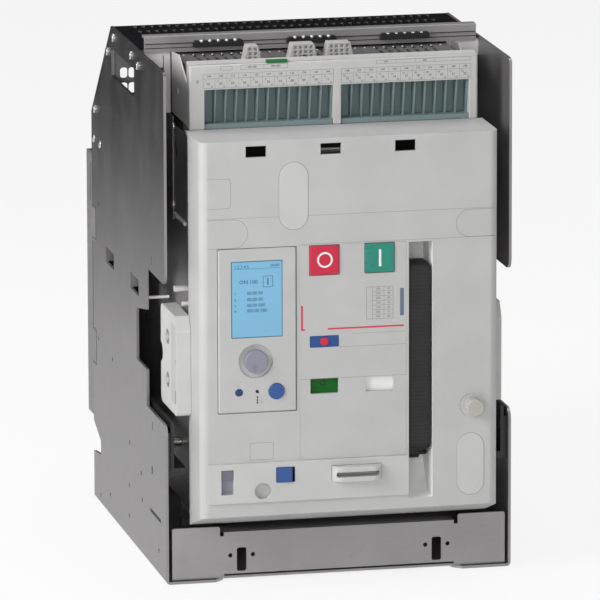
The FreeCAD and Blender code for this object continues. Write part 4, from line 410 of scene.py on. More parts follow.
def lit_screen(name, colour):
    finish = Finish(name)
    cells = finish.add("ShaderNodeTexChecker", {
        "Vector": finish.place, "Scale": CELLS_PER_METRE, "Color1": shade(colour, 0.97),
        "Color2": shade(colour, 1.03)}).outputs["Color"]
    base = finish.blend(finish.clouded(finish.noise(60.0)), cells, shade(colour, 1.05))
    finish.set(Base_Color=base, Emission_Color=base, Emission_Strength=0.25, Roughness=0.22)
    return finish.material


finishes["screen"] = lit_screen("lit_screen", SCREEN_BLUE)
print("screen ready")

# %% [markdown]
# ## The ribbed skin of the handle
# The charging handle has fine ribs across its front, for the hand. The coarse ones are in the
# engineering shape; modelling the fine ones would take thousands of faces, so a wave texture
# raises them in the bump and paints shade into the grooves between them.

# %% Finish for the ribbed skin
RIB_PITCH = 3.5
WAVES_PER_SCALE = 20 / math.tau


def ribbed_skin(name, colour):
    finish = Finish(name)
    ribs = finish.add("ShaderNodeTexWave", {
        "Vector": finish.place, "Scale": MM_PER_METRE / RIB_PITCH / WAVES_PER_SCALE},
        bands_direction="Z").outputs["Fac"]
    worn = finish.clouded(finish.noise(20.0, 3.0))
    base = finish.blend(worn, shade(colour, 0.9), shade(colour, 1.15))
    # Painted shade in the grooves between the ribs.
    base = finish.blend(finish.spread(ribs, 0.0, 0.35, 0.35, 0.0), base, shade(colour, 0.5))
    finish.set(Base_Color=base, Roughness=finish.spread(worn, 0.0, 1.0, 0.5, 0.62),
               Specular_IOR_Level=0.2)
    finish.bump(ribs, 0.12, 0.5)
    return finish.material


finishes["handle_skin"] = ribbed_skin("handle_skin", (0.026, 0.026, 0.026))
print("ribbed skin ready")

# %% [markdown]
# ## Dressing the pieces that keep their shape
# Steel parts are cut and bent sheet, so the engineering shape is already right. Each of them
# only gets its finish in place of the plain colour that it came with. The record says which
# slot a piece has, and a short list names the pieces that look different from their slot.

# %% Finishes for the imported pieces
record_slots = {part["node"]: part["material_slot"] for part in frame["record"]["subparts"]}
own_finish = {
    "side_plate_right": "right_steel",
    "base_tray": "tray_steel", "rear_panel": "tray_steel", "top_cross_rail": "tray_steel",
    "corner_brackets": "bracket_steel", "top_mesh": "mesh_steel", "test_button": "navy_button",
}


def finish_of(node):
    return finishes[own_finish.get(node, record_slots[node])]


for name, thing in frame["nodes"].items():
    for place in thing.material_slots:
        place.material = finish_of(name)
    if not thing.material_slots:
        thing.data.materials.append(finish_of(name))
print("dressed", len(frame["nodes"]), "packed pieces")

# %% [markdown]
# ## Rounding the moulded pieces
# A mould never leaves a knife edge: every corner of a real cover has a small radius that
# catches the light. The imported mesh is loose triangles, so a copy is merged and its flat
# triangles joined into faces. Then a Bevel modifier rounds the edges that turn sharply. Bevels
# cut by hand would look the same and take a list of edges for every piece.

# %% Rounded copies of moulded pieces
MERGE_MM, FLAT_DEGREES, SHARP_DEGREES, BEVEL_STEPS = 0.01, 1.0, 35.0, 3
node_body = {node: body for body, nodes in frame["record"]["behaviour"]["bodies"].items()
             for node in nodes}


def merged_mesh(node):
    form = bmesh.new()
    form.from_mesh(frame["nodes"][node].data)
    bmesh.ops.remove_doubles(form, verts=form.verts, dist=mm(MERGE_MM))
    bmesh.ops.dissolve_limit(form, angle_limit=math.radians(FLAT_DEGREES), verts=form.verts,
                             edges=form.edges)
    mesh = bpy.data.meshes.new(node + "_rounded")
    form.to_mesh(mesh)
    form.free()
    mesh.materials.append(finish_of(node))
    return mesh


def rounded(node, radius_mm):
    piece = bpy.data.objects.new(node + "_rounded", merged_mesh(node))
    bpy.context.scene.collection.objects.link(piece)
    bevel = piece.modifiers.new("edge_radius", "BEVEL")
    bevel.width = mm(radius_mm)
    bevel.segments = BEVEL_STEPS
    bevel.limit_method = "ANGLE"
    bevel.angle_limit = math.radians(SHARP_DEGREES)
    bevel.harden_normals = True
    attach(piece, node_body[node])
    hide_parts(node)
    return piece


edge_radii = {
    "front_cover": 0.8, "cover_blanks": 0.25, "fascia": 0.25, "protection_unit": 0.3,
    "lower_panel": 0.4, "terminal_housing": 0.8, "side_grips": 1.2, "charging_handle": 0.5,
    "off_button": 0.35, "on_button": 0.35, "release_plunger": 0.5, "padlock_slide": 0.4,
    "nav_knob": 0.3, "auxiliary_plugs": 0.4,
}
rounded_pieces = {node: rounded(node, radius) for node, radius in edge_radii.items()}
print("rounded", len(rounded_pieces), "moulded pieces")

# %% [markdown]
# The trough that the handle folds into has a lighter finish than the grained face round it:
# painted light against the shade of its deep walls. It is part of the cover's own mesh: a
# second finish is given to every face whose middle lies inside the trough's box.

# %% The trough, lightened with painted light
TROUGH_LOW, TROUGH_HIGH = at(54.0, -44.6, 80.0), at(77.2, 5.0, 318.0)
cover_mesh = rounded_pieces["front_cover"].data
# Painted light: the faces inside the trough get the lighter finish.
cover_mesh.materials.append(finishes["trough_painted_light"])
trough_faces = [face for face in cover_mesh.polygons
                if all(TROUGH_LOW[i] < face.center[i] < TROUGH_HIGH[i] for i in range(3))]
for face in trough_faces:
    face.material_index = 1
print(len(trough_faces), "faces in the trough")

# %% [markdown]
# ## Helpers for thin printed shapes
# A printed mark is a plate a few hundredths of a millimetre thick on its carrier. Marks could
# each be an object, but all marks of one colour on one carrier share one bmesh here, so the
# object stays tidy and each still moves with what carries it.

# %% Marks on a face that looks forward
SUNK_MM = 0.02
UPRIGHT = Matrix.Rotation(math.pi / 2, 4, "X")


def finished(name, form, finish, body):
    """Turns a bmesh into a piece of the object."""
    mesh = bpy.data.meshes.new(name)
    form.to_mesh(mesh)
    form.free()
    piece = bpy.data.objects.new(name, mesh)
    bpy.context.scene.collection.objects.link(piece)
    mesh.materials.append(finishes[finish])
    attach(piece, body)


class Marks:
    """Thin shapes in one colour on a face that looks to the front, at depth y."""

    def __init__(self, name, depth, thickness=0.06):
        self.name = name
        self.front = depth - thickness
        self.back = depth + SUNK_MM
        self.form = bmesh.new()

    def bar(self, x0, x1, z0, z1, tilt=0.0):
        """A rectangle from corner to corner; tilt leans it, in degrees."""
        middle = at((x0 + x1) / 2, (self.front + self.back) / 2, (z0 + z1) / 2)
        size = Matrix.Diagonal((mm(abs(x1 - x0)), mm(self.back - self.front),
                                mm(abs(z1 - z0)), 1.0))
        turn = Matrix.Rotation(math.radians(tilt), 4, "Y")
        bmesh.ops.create_cube(self.form, size=1.0,
                              matrix=Matrix.Translation(middle) @ turn @ size)

    def frame(self, x0, x1, z0, z1, line):
        self.bar(x0, x1, z0, z0 + line)
        self.bar(x0, x1, z1 - line, z1)
        self.bar(x0, x0 + line, z0 + line, z1 - line)
        self.bar(x1 - line, x1, z0 + line, z1 - line)

    def disc(self, x, z, radius, steps=32):
        place = Matrix.Translation(at(x, (self.front + self.back) / 2, z))
        bmesh.ops.create_cone(
            self.form, cap_ends=True, segments=steps, radius1=mm(radius), radius2=mm(radius),
            depth=mm(self.back - self.front), matrix=place @ UPRIGHT)

    def ring(self, x, z, inner, outer, steps=48):
        """A flat ring: a small rectangle spun once round the axis."""
        corners = [self.form.verts.new(at(x + r, y, z)) for r, y in (
            (inner, self.front), (outer, self.front), (outer, self.back), (inner, self.back))]
        edges = [self.form.edges.new((corners[i], corners[(i + 1) % 4])) for i in range(4)]
        bmesh.ops.spin(self.form, geom=corners + edges, cent=at(x, 0, z), axis=(0, 1, 0),
                       angle=math.tau, steps=steps, use_merge=True)

    def done(self, finish, body):
        bmesh.ops.remove_doubles(self.form, verts=self.form.verts, dist=1e-7)
        bmesh.ops.recalc_face_normals(self.form, faces=self.form.faces)
        finished(self.name, self.form, finish, body)


print("mark helpers ready")

# %% [markdown]
# ## Symbols on the push-buttons
# The red button opens the breaker and carries the ring of OFF. The green one closes it and
# carries the bar of ON. Both symbols are moulded in white and lie flush in the button's face.
# They ride on the buttons, so they travel with them. A dark line round each button is the gap
# that lets it move.

# %% Ring, bar and gaps
BUTTON_FACE = -46.5
COVER_FACE = -45.0
BUTTON_LEFTS, BUTTON_WIDTH = (-37.45, 13.45), 28.05
BUTTON_BOTTOM, BUTTON_TOP = 290.3, 318.4
off_symbol = Marks("off_symbol", BUTTON_FACE)
off_symbol.ring(-23.2, 304.8, 5.5, 7.2)
off_symbol.done("white_ink", "off_key")
on_symbol = Marks("on_symbol", BUTTON_FACE)
on_symbol.bar(26.5, 28.7, 296.6, 312.2)
on_symbol.done("white_ink", "on_key")
button_gaps = Marks("button_gaps", COVER_FACE, 0.03)
for left in BUTTON_LEFTS:
    button_gaps.frame(left, left + BUTTON_WIDTH, BUTTON_BOTTOM, BUTTON_TOP, 0.7)
button_gaps.done("gap_shadow", "breaker")
print("button symbols made")

# %% [markdown]
# ## Letters and numbers
# Blender's text objects give outlines of a font. A text is filled, made a mesh, turned to
# stand on the front and moved to its place, because a finished piece keeps its place in its
# mesh. Numbers could be drawn with bars, but a font gives all of them from one call.

# %% Set lettering
CAPITAL_SHARE = 0.7
STROKE_GROWTH = 0.02
HALF_THICK, LETTER_LIFT = 0.03, 0.02


def lettering(name, lines, depth, finish, body):
    """Lines of (text, x, z, height) in millimetres, all on one face that looks forward."""
    form = bmesh.new()
    for text, x, z, height in lines:
        curve = bpy.data.curves.new(name + "_type", "FONT")
        curve.body = text
        curve.size = mm(height) / CAPITAL_SHARE
        curve.align_x = "CENTER"
        curve.align_y = "CENTER"
        curve.extrude = mm(HALF_THICK)
        curve.offset = mm(STROKE_GROWTH * height)
        curve.resolution_u = 2
        holder = bpy.data.objects.new(name + "_type", curve)
        mesh = bpy.data.meshes.new_from_object(holder)
        mesh.transform(Matrix.Translation(at(x, depth - LETTER_LIFT, z)) @ UPRIGHT)
        form.from_mesh(mesh)
        bpy.data.objects.remove(holder)
        bpy.data.curves.remove(curve)
        bpy.data.meshes.remove(mesh)
    finished(name, form, finish, body)


print("lettering ready")

# %% [markdown]
# ## Picture on the screen
# The screen shows a title line, the state with its boxed symbol, and four numbered rows of
# values. On the real screen dark cells form them; thin shapes in a darker blue look the same
# and stay sharp.

# %% Screen marks
SCREEN_FACE = -45.7
VALUE_ROWS = (("00.00 00", -87.4, 277.1), ("00.00 00", -87.4, 271.3),
              ("00.00 000", -86.4, 266.0), ("000.00 000", -85.4, 261.0))
picture = Marks("screen_lines", SCREEN_FACE, 0.04)
picture.bar(-106.5, -64.5, 299.5, 299.8)
picture.frame(-80.0, -70.8, 282.4, 292.6, 0.45)
picture.bar(-76.0, -74.9, 284.4, 290.6)
picture.frame(-109.0, -62.2, 236.5, 306.5, 0.6)
picture.done("screen_ink", "breaker")
screen_lines = [("1 2 3 4 5", -99.6, 301.5, 2.6), ("00:00", -69.0, 301.9, 2.6),
                ("ON 100", -93.3, 287.4, 3.5)]
for number, (value, x, z) in enumerate(VALUE_ROWS, 1):
    screen_lines += [(value, x, z, 2.9), (str(number), -105.6, z, 2.4)]
lettering("screen_figures", screen_lines, SCREEN_FACE, "screen_ink", "breaker")
print(len(screen_lines), "texts on the screen")

# %% [markdown]
# ## Seams of the cover
# The cover is moulded with shallow grooves: outlines of knock-out panels for optional parts
# and two parting lines across. Cutting them would need a boolean on the largest mesh of the
# object. A groove a third of a millimetre wide reads as a thin grey line, so each is a flat
# strip let into the face.

# %% Strips along a line
CORNER_OVERLAP = 0.9


def polyline(marks, points, width):
    """Strips of one width that follow points (x, z)."""
    for (x0, z0), (x1, z1) in zip(points, points[1:]):
        length = math.hypot(x1 - x0, z1 - z0) + width * CORNER_OVERLAP
        lean = math.degrees(math.atan2(z1 - z0, x1 - x0))
        xm, zm = (x0 + x1) / 2, (z0 + z1) / 2
        marks.bar(xm - length / 2, xm + length / 2, zm - width / 2, zm + width / 2, -lean)


def arc(x, z, radius, start, end, steps=10):
    """Points (x, z) on an arc, angles in degrees from the right, turning up."""
    angles = [math.radians(start + (end - start) * i / steps) for i in range(steps + 1)]
    return [(x + radius * math.cos(a), z + radius * math.sin(a)) for a in angles]


def box_loop(a0, a1, b0, b1):
    return [(a0, b0), (a1, b0), (a1, b1), (a0, b1)]


print("line helpers ready")

# %% [markdown]
# The seams end where the cover's face begins to curve away to its sides. The long ones are
# straight; the panels' outlines turn in arcs.

# %% Seams on the cover
FACE_LEFT, FACE_RIGHT = -130.5, 134.0
HAIR, FINE, MEDIUM, WIDE = 0.3, 0.35, 0.4, 0.45
seams = Marks("cover_seams", COVER_FACE, 0.03)
for x0, x1, z in ((FACE_LEFT, -64.6, 346.0), (-38.2, FACE_RIGHT, 346.0),
                  (-46.0, FACE_RIGHT, 319.6)):
    polyline(seams, [(x0, z), (x1, z)], HAIR)
polyline(seams, [(FACE_LEFT, 382.4), *arc(-112.2, 379.4, 3.0, 90, 0, 5),
                 *arc(-112.2, 358.5, 3.0, 0, -90, 5), (FACE_LEFT, 355.5)], FINE)
polyline(seams, [(FACE_LEFT, 345.0), *arc(-106.6, 332.0, 13.0, 90, -90, 14),
                 (FACE_LEFT, 319.0)], FINE)
polyline(seams, [(FACE_RIGHT, 345.0), *arc(111.0, 332.3, 12.6, 90, 270, 14),
                 (FACE_RIGHT, 319.9)], MEDIUM)
small_panel = box_loop(-92.3, -70.9, 123.3, 138.9)
polyline(seams, [*small_panel, small_panel[0]], FINE)
seams.done("seam_shadow", "breaker")
print("cover seams made")

# %% [markdown]
# Two blanks with round ends, the bezel of the round push and the joint round the protection
# unit have wider lines. The first two are shallow steps, so their grey is lighter than that of
# the seams; the joint goes through the face, so it is nearly black. The blanks are strips along
# arcs, and the bezel is a spun ring, because a full circle of strips would show its corners.

# %% Blanks, bezel and joint
BLANKS = ((112.0, 109.4, 25.2, 57.8), (-51.4, 364.4, 26.8, 62.0))
blank_lines = Marks("blank_outlines", COVER_FACE, 0.05)
for x, z, width, height in BLANKS:
    reach = (height - width) / 2
    outline = [*arc(x, z + reach, width / 2, 0, 180, 16),
               *arc(x, z - reach, width / 2, 180, 360, 16)]
    polyline(blank_lines, [*outline, outline[0]], WIDE)
blank_lines.done("bezel_shadow", "breaker")
bezel = Marks("plunger_bezel", COVER_FACE, 0.05)
bezel.ring(112.6, 163.8, 10.3, 10.8)
bezel.ring(112.9, 163.7, 8.9, 9.4)
bezel.done("bezel_shadow", "breaker")
unit_gap = Marks("unit_gap", COVER_FACE, 0.03)
unit_gap.frame(-121.9, -48.9, 166.9, 318.6, 0.6)
unit_gap.done("gap_shadow", "breaker")
print("blanks, bezel and joint made")

# %% [markdown]
# ## Print on the fascia
# Between the protection unit and the handle the fascia lies flush with the cover. It carries
# parting lines, a red rule, a small table of numbers and a slate-coloured mark. All of it is
# flat, so marks and lettering are enough.

# %% Parting lines and the red rule
FASCIA_FACE = COVER_FACE
FASCIA_RIGHT = 52.0
fascia_lines = Marks("fascia_seams", FASCIA_FACE, 0.03)
for x0, z in ((3.0, 235.6), (-10.1, 223.9), (-45.6, 195.4)):
    polyline(fascia_lines, [(x0, z), (FASCIA_RIGHT, z)], HAIR)
fascia_lines.done("seam_shadow", "breaker")
red_rule = Marks("red_rule", FASCIA_FACE)
red_rule.bar(-44.9, -43.2, 240.2, 263.4)
red_rule.bar(-43.2, -41.4, 240.2, 241.7)
red_rule.bar(-20.5, 50.0, 240.2, 241.7)
red_rule.done("red_ink", "breaker")
print("lines and rule made")

# %% [markdown]
# The table has seven rows with two numbers each. A loop sets the rows at one pitch and works
# out plain numbers that mean nothing, which is shorter than a list and just as even.

# %% The small table and the coloured mark
TABLE_LEFT, TABLE_RIGHT, TABLE_BOTTOM = 15.2, 40.1, 248.0
TABLE_ROW, TABLE_ROWS = 4.26, 7
TABLE_TOP = TABLE_BOTTOM + TABLE_ROW * TABLE_ROWS
table_columns = (20.6, 31.4)
table = Marks("rating_table", FASCIA_FACE)
table.frame(TABLE_LEFT, TABLE_RIGHT, TABLE_BOTTOM, TABLE_TOP, FINE)
for x in table_columns:
    table.bar(x, x + HAIR, TABLE_BOTTOM, TABLE_TOP)
table_figures = []
for row in range(TABLE_ROWS):
    z = TABLE_BOTTOM + TABLE_ROW * row
    if row:
        table.bar(table_columns[0], TABLE_RIGHT - 0.2, z - HAIR / 2, z + HAIR / 2)
    table_figures += [("%03d" % (40 * (row + 1)), 26.1, z + TABLE_ROW / 2, 2.0),
                      ("%02d" % (8 * (row + 1)), 35.9, z + TABLE_ROW / 2, 2.0)]
table.done("grey_ink", "breaker")
lettering("table_figures", table_figures, FASCIA_FACE, "grey_ink", "breaker")
slate_mark = Marks("slate_mark", FASCIA_FACE)
slate_mark.bar(46.4, 50.0, 250.3, 275.4)
slate_mark.done("slate_ink", "breaker")
print(len(table_figures), "figures in the table")

# %% [markdown]
# ## Indicator flags
# Behind each of two windows a flag slides up: one when the contacts close, one when the spring
# is charged. At rest the upper half shows; the lower half has its own colour, which only comes
# into view when the flag has moved. The halves could be two finishes of one mesh, but a thin
# printed field is quicker to place, and it rides on the flag's body.

# %% Fields of the flags
FLAG_FACE = -41.4
FIELD_BOTTOM, FIELD_TOP = 165.6, 181.0
open_mark = Marks("contact_flag_mark", FLAG_FACE)
open_mark.ring(-24.5, 190.5, 1.6, 2.5)
open_mark.done("black_ink", "contact_indicator")
closed_field = Marks("contact_flag_closed_field", FLAG_FACE)
closed_field.bar(-37.0, -10.0, FIELD_BOTTOM, FIELD_TOP)
closed_field.done("red_ink", "contact_indicator")
closed_bar = Marks("contact_flag_closed_bar", FLAG_FACE - 0.05)
closed_bar.bar(-24.4, -22.9, 169.4, 177.2)
closed_bar.done("white_ink", "contact_indicator")
charged_field = Marks("charge_flag_charged_field", FLAG_FACE)
charged_field.bar(14.0, 41.0, FIELD_BOTTOM, FIELD_TOP)
charged_field.done("yellow_ink", "charge_indicator")
print("flag fields made")

# %% [markdown]
# ## Cut sheets
# Plates with holes turn up all over the breaker. A boolean cut would do, but filling the flat
# outline between its loops and extruding the result gives clean faces in one step.

# %% Sheets from an outline and holes


def circle(a, b, radius, steps=24):
    """Points on a circle, in the plane of the sheet."""
    return [(a + radius * math.cos(math.tau * i / steps),
             b + radius * math.sin(math.tau * i / steps)) for i in range(steps)]


def add_sheet(form, outer, holes, plane, start, end):
    """Adds a sheet to a bmesh; plane says what the points measure, start and end its faces."""
    def spot(a, b, depth):
        return at(depth, a, b) if plane == "YZ" else at(a, depth, b)

    edges = []
    for loop in (outer, *holes):
        points = [form.verts.new(spot(a, b, start)) for a, b in loop]
        edges += [form.edges.new((points[i - 1], points[i])) for i in range(len(points))]
    flat = bmesh.ops.triangle_fill(form, edges=edges, use_beauty=True)
    faces = [item for item in flat["geom"] if isinstance(item, bmesh.types.BMFace)]
    grown = bmesh.ops.extrude_face_region(form, geom=faces)
    moved = [item for item in grown["geom"] if isinstance(item, bmesh.types.BMVert)]
    bmesh.ops.translate(form, verts=moved, vec=spot(0, 0, end) - spot(0, 0, start))
    bmesh.ops.recalc_face_normals(form, faces=form.faces)


def sheet_piece(name, outer, holes, plane, start, end, finish, body):
    form = bmesh.new()
    add_sheet(form, outer, holes, plane, start, end)
    finished(name, form, finish, body)


print("sheet helpers ready")

# %% [markdown]
# ## Window plates and the handle's skin
# The reset button stands in a blue window plate with a round hole, and the position window has
# a grey scale behind its pointer. The handle's skin follows its front face with rounded
# corners. All three are thin plates with an outline, so the sheet helper cuts them.

# %% Window plates and skin
sheet_piece("trip_window_plate", box_loop(-37.1, -10.1, 224.2, 235.0),
            [circle(-23.5, 229.6, 4.1)], "XZ", -44.6, -44.2, "blue_ink", "breaker")
sheet_piece("position_scale", box_loop(-118.9, -107.9, 92.6, 115.0), [], "XZ", -42.7, -42.5,
            "window_grey", "breaker")
grip_skin = [(56.3, 128.0), (69.5, 128.0), *arc(69.5, 132.4, 4.4, -80, 0, 5),
             *arc(68.2, 289.4, 5.6, 0, 90, 6), *arc(61.9, 289.4, 5.6, 90, 180, 6)]
sheet_piece("handle_skin", grip_skin, [], "XZ", -43.72, -43.4, "handle_skin", "handle")
print("window plates and skin made")

# %% [markdown]
# Below its screen the protection unit has a small round port, three lamps, which are unlit, and
# a ring round the test button. Dark discs and a ring a few hundredths of a millimetre thick are
# enough at this size, and the lettering helper counts the lamps.

# %% Lamps and their numbers
UNIT_FACE = -46.0
LAMP_LEVELS = (181.4, 178.9, 176.5)
lamps = Marks("unit_lamps", UNIT_FACE)
lamps.disc(-85.9, 186.9, 1.4)
for z in LAMP_LEVELS:
    lamps.disc(-85.5, z, 0.85)
lamps.ring(-102.4, 186.4, 3.1, 3.6)
lamps.done("black_ink", "breaker")
lamp_figures = [(str(number), -81.9, z, 1.7) for number, z in enumerate(LAMP_LEVELS, 1)]
lettering("lamp_figures", [*lamp_figures, ("0", -103.4, 192.7, 1.5)], UNIT_FACE, "grey_ink",
          "breaker")
print("lamps made")

# %% [markdown]
# ## Wiring labels on the terminal housing
# Two strips of eleven cells stand over the windows, one cell for each terminal, with plain
# numbers that count the terminals. The cells repeat at one pitch, so a loop draws the lines
# and collects the numbers.

# %% Label strips
HOUSING_FACE = 18.0
CELL, CELLS = 10.95, 11
STRIPS = ((-121.0, 1), (6.5, 12))
STRIP_BOTTOM, STRIP_MIDDLE, STRIP_TOP = 453.4, 462.1, 466.8
CELL_LINE = 0.25
label_lines = Marks("label_lines", HOUSING_FACE, 0.04)
figures = []
for strip_left, first in STRIPS:
    strip_right = strip_left + CELL * CELLS
    label_lines.frame(strip_left, strip_right, STRIP_BOTTOM, STRIP_TOP, HAIR)
    label_lines.bar(strip_left, strip_right, STRIP_MIDDLE, STRIP_MIDDLE + HAIR)
    for i in range(CELLS):
        x = strip_left + CELL * i
        middle = x + CELL / 2
        if i:
            top = STRIP_MIDDLE if i == 1 else STRIP_TOP
            label_lines.bar(x, x + CELL_LINE, STRIP_BOTTOM, top)
        figures += [(str(first + i), middle - 2.6, 460.2, 1.7),
                    ("%02d" % (first + i), middle, 457.6, 2.2),
                    ("%02d" % (first + i + 20), middle + 3.0, 454.8, 1.5),
                    ("%03d" % (100 + 4 * (first + i)), middle, 464.5, 1.9)]
print(len(figures), "figures in the strips")

# %% [markdown]
# Smaller boxes above the strips group the cells. They don't repeat evenly, so each is given by
# its corners, in the same marks as the strips.

# %% Boxes above the strips
GROUP_BOTTOM, GROUP_TOP = 469.6, 473.2
label_lines.frame(-86.3, -43.1, GROUP_BOTTOM, 473.8, HAIR)
label_lines.bar(-65.0, -64.7, GROUP_BOTTOM, 473.8)
label_lines.frame(-105.0, -94.0, 469.4, GROUP_TOP, HAIR)
label_lines.frame(39.0, 127.0, GROUP_BOTTOM, GROUP_TOP, HAIR)
for x in (57.0, 75.0, 93.0, 110.0):
    label_lines.bar(x, x + CELL_LINE, GROUP_BOTTOM, GROUP_TOP)
label_lines.done("grey_ink", "breaker")
figures += [("000 000", -75.6, 471.7, 1.8), ("000 000", -53.9, 471.7, 1.8),
            ("000", 48.0, 471.4, 1.6), ("000", 84.0, 471.4, 1.6), ("0", -126.0, 459.8, 3.0)]
lettering("label_figures", figures, HOUSING_FACE, "gap_shadow", "breaker")
print(len(figures), "label figures")

# %% [markdown]
# A green key sits in the housing's upper edge. It is a small block with rounded edges, so one
# sheet and a bevel make it. Its edges are few, so they are bevelled in the mesh at once, with no
# modifier to keep.

# %% The green key
key = bmesh.new()
add_sheet(key, box_loop(-62.5, -43.0, 474.4, 477.2), [], "XZ", 17.6, 23.0)
bmesh.ops.bevel(key, geom=key.edges[:], offset=mm(0.5), affect="EDGES", segments=2,
                profile=0.5, material=-1)
finished("housing_key", key, "green_key", "breaker")
print("key made")

# %% [markdown]
# ## Sheet steel that only shows through gaps
# Behind the housing a steel gusset rises from each of the breaker's side sheets. Below it a
# liner doubles the sheet. They are cut from flat sheet on the real breaker, so outlines and
# the sheet helper give them directly.

# %% Gussets and liners
GUSSET_OUTLINE = [(34, 416.0), (110, 416.0), (110, 471.5), (80, 474.0), (38.5, 452.6), (34, 440)]
GUSSET_HOLE = circle(80.3, 441.2, 3.4)
liners = bmesh.new()
# The right gusset faces the lamp on the left, so it gets the darker tray finish: painted shade.
for side, label, finish in ((-1, "left", "gusset_steel"), (1, "right", "tray_steel")):
    gusset = bmesh.new()
    add_sheet(gusset, GUSSET_OUTLINE, [GUSSET_HOLE], "YZ", side * 131.2, side * 129.7)
    finished("side_gusset_" + label, gusset, finish, "breaker")
    add_sheet(liners, box_loop(102, 150, 318, 413.4), [], "YZ", side * 132.4, side * 131.35)
finished("side_liners", liners, "tray_steel", "breaker")
print("gussets and liners made")

# %% [markdown]
# A perforated sheet hangs from the mesh and closes the back. The tray's front web is bent back
# in a flange, and its floor ends in a low lip at the rear.

# %% Back screen, flange and lip
SCREEN_PITCH, SCREEN_COLUMNS, SCREEN_LEFT = 8.0, 38, -152.7
HOLE_WIDTH, HOLE_HEIGHT, HOLE_RADIUS = 7.0, 9.8, 2.6


def soft_box(a0, a1, b0, b1, radius):
    """A box outline with rounded corners."""
    return [*arc(a1 - radius, b1 - radius, radius, 0, 90, 3),
            *arc(a0 + radius, b1 - radius, radius, 90, 180, 3),
            *arc(a0 + radius, b0 + radius, radius, 180, 270, 3),
            *arc(a1 - radius, b0 + radius, radius, 270, 360, 3)]


hole_lefts = [SCREEN_LEFT + SCREEN_PITCH * i for i in range(SCREEN_COLUMNS)]
screen_holes = [soft_box(x, x + HOLE_WIDTH, z, z + HOLE_HEIGHT, HOLE_RADIUS)
                for x in hole_lefts for z in (409.6, 423.8)]
sheet_piece("back_screen", box_loop(-158.0, 158.0, 396.0, 457.2), screen_holes, "XZ", 247.0,
            248.2, "mesh_steel", "chassis")
sheet_piece("web_flange", box_loop(-107.2, 107.2, 44.0, 46.4), [], "XZ", 0.1, 23.0,
            "tray_steel", "chassis")
sheet_piece("tray_rear_lip", box_loop(-154.0, 154.0, 4.0, 19.0), [], "XZ", 338.4, 340.0,
            "tray_steel", "chassis")
print(len(screen_holes), "holes in the back screen")

# %% [markdown]
# ## Small steel between the plates
# Pan-head screws hold the mechanism to the side sheets, and pins and a link stand beside them.
# Heads are flattened balls that sink half into the sheet, and bars are capped cylinders: what
# shows through the gaps needs no slots or threads.

# %% Screw heads, pins and links
CROSSWAYS, UPWARDS = 0, 2


def dome(form, place, radius, height, axis):
    """A flattened ball; its back half sinks into the sheet that carries it."""
    size = [radius, radius, radius]
    size[axis] = height
    bmesh.ops.create_uvsphere(form, u_segments=20, v_segments=12, radius=mm(1), matrix=(
        Matrix.Translation(place) @ Matrix.Diagonal((*size, 1.0))))


def rod(form, start, end, radius):
    """A round bar between two places."""
    along = end - start
    turn = along.to_track_quat("Z", "Y").to_matrix().to_4x4()
    bmesh.ops.create_cone(form, cap_ends=True, segments=24, radius1=mm(radius),
                          radius2=mm(radius), depth=along.length,
                          matrix=Matrix.Translation((start + end) / 2) @ turn)


heads, pins, links = bmesh.new(), bmesh.new(), bmesh.new()
for side in SIDES:
    for y, z in ((98.0, 405.1), (100.2, 332.3)):
        dome(heads, at(side * 132.4, y, z), 3.6, 2.6, CROSSWAYS)
    for x0, x1, y, z, radius in ((130.0, 146.3, 30, 268.6, 2.9), (130.0, 139.0, 30, 254.0, 2.2),
                                 (158.4, 138.0, 95, 247.4, 1.4)):
        rod(pins, at(side * x0, y, z), at(side * x1, y, z), radius)
    rod(links, at(side * 133.2, 42, 325.2), at(side * 133.2, 92, 325.2), 1.7)
finished("side_screws", heads, "rivet_steel", "breaker")
finished("side_pins", pins, "bracket_steel", "breaker")
finished("side_links", links, "bracket_steel", "breaker")
print("screws, pins and links made")

# %% [markdown]
# White glints on the contact combs are painted: small white domes sit between the teeth, smaller
# on the right-hand comb, which catches less light. A row of small studs stands on the arc chutes
# in front of the rail, and the rail's two folds are drawn as dark lines, painted shade. Glints and
# studs are the same flattened balls as the screw heads, set at one pitch by a loop.

# %% Painted glints, studs and shaded rail lines
GLINT_PITCH, GLINTS_PER_COMB = 7.85, 5
STUD_PITCH, STUDS = 8.9, 28
glints = bmesh.new()
# Painted highlights: white domes between the teeth stand for glints; the right comb's are smaller.
for centre, radius in ((-87.3, 1.35), (0.0, 1.35), (87.3, 0.6)):
    for i in range(GLINTS_PER_COMB):
        x = centre + GLINT_PITCH * (i - GLINTS_PER_COMB // 2)
        dome(glints, at(x, 112.5, 479.9), radius, 1.5, CROSSWAYS)
finished("comb_glints", glints, "flag_white", "chassis")
studs = bmesh.new()
for i in range(STUDS):
    dome(studs, at(-120.2 + STUD_PITCH * i, 109.0, 468.0), 0.95, 0.9, UPWARDS)
finished("chute_studs", studs, "panel_moulding", "breaker")
# Painted shade: two black strips where the rail is folded.
rail_fold_shadows = Marks("rail_fold_shadows", 116.0, 0.03)
for z in (477.8, 473.8):
    rail_fold_shadows.bar(-155.0, 155.0, z, z + 0.8)
rail_fold_shadows.done("black_ink", "chassis")
print("tips, studs and rail lines made")

# %% [markdown]
# ## Marks on the side plates
# Each plate has a long slot and a slit near its front edge, drawn as black sheets: painted
# shade in place of the openings. At the rear, tabs of the back panel pass through it with a dark
# gap round them, and two rivets sit above. The gaps are let into the face as thin dark sheets,
# like the seams of the cover.

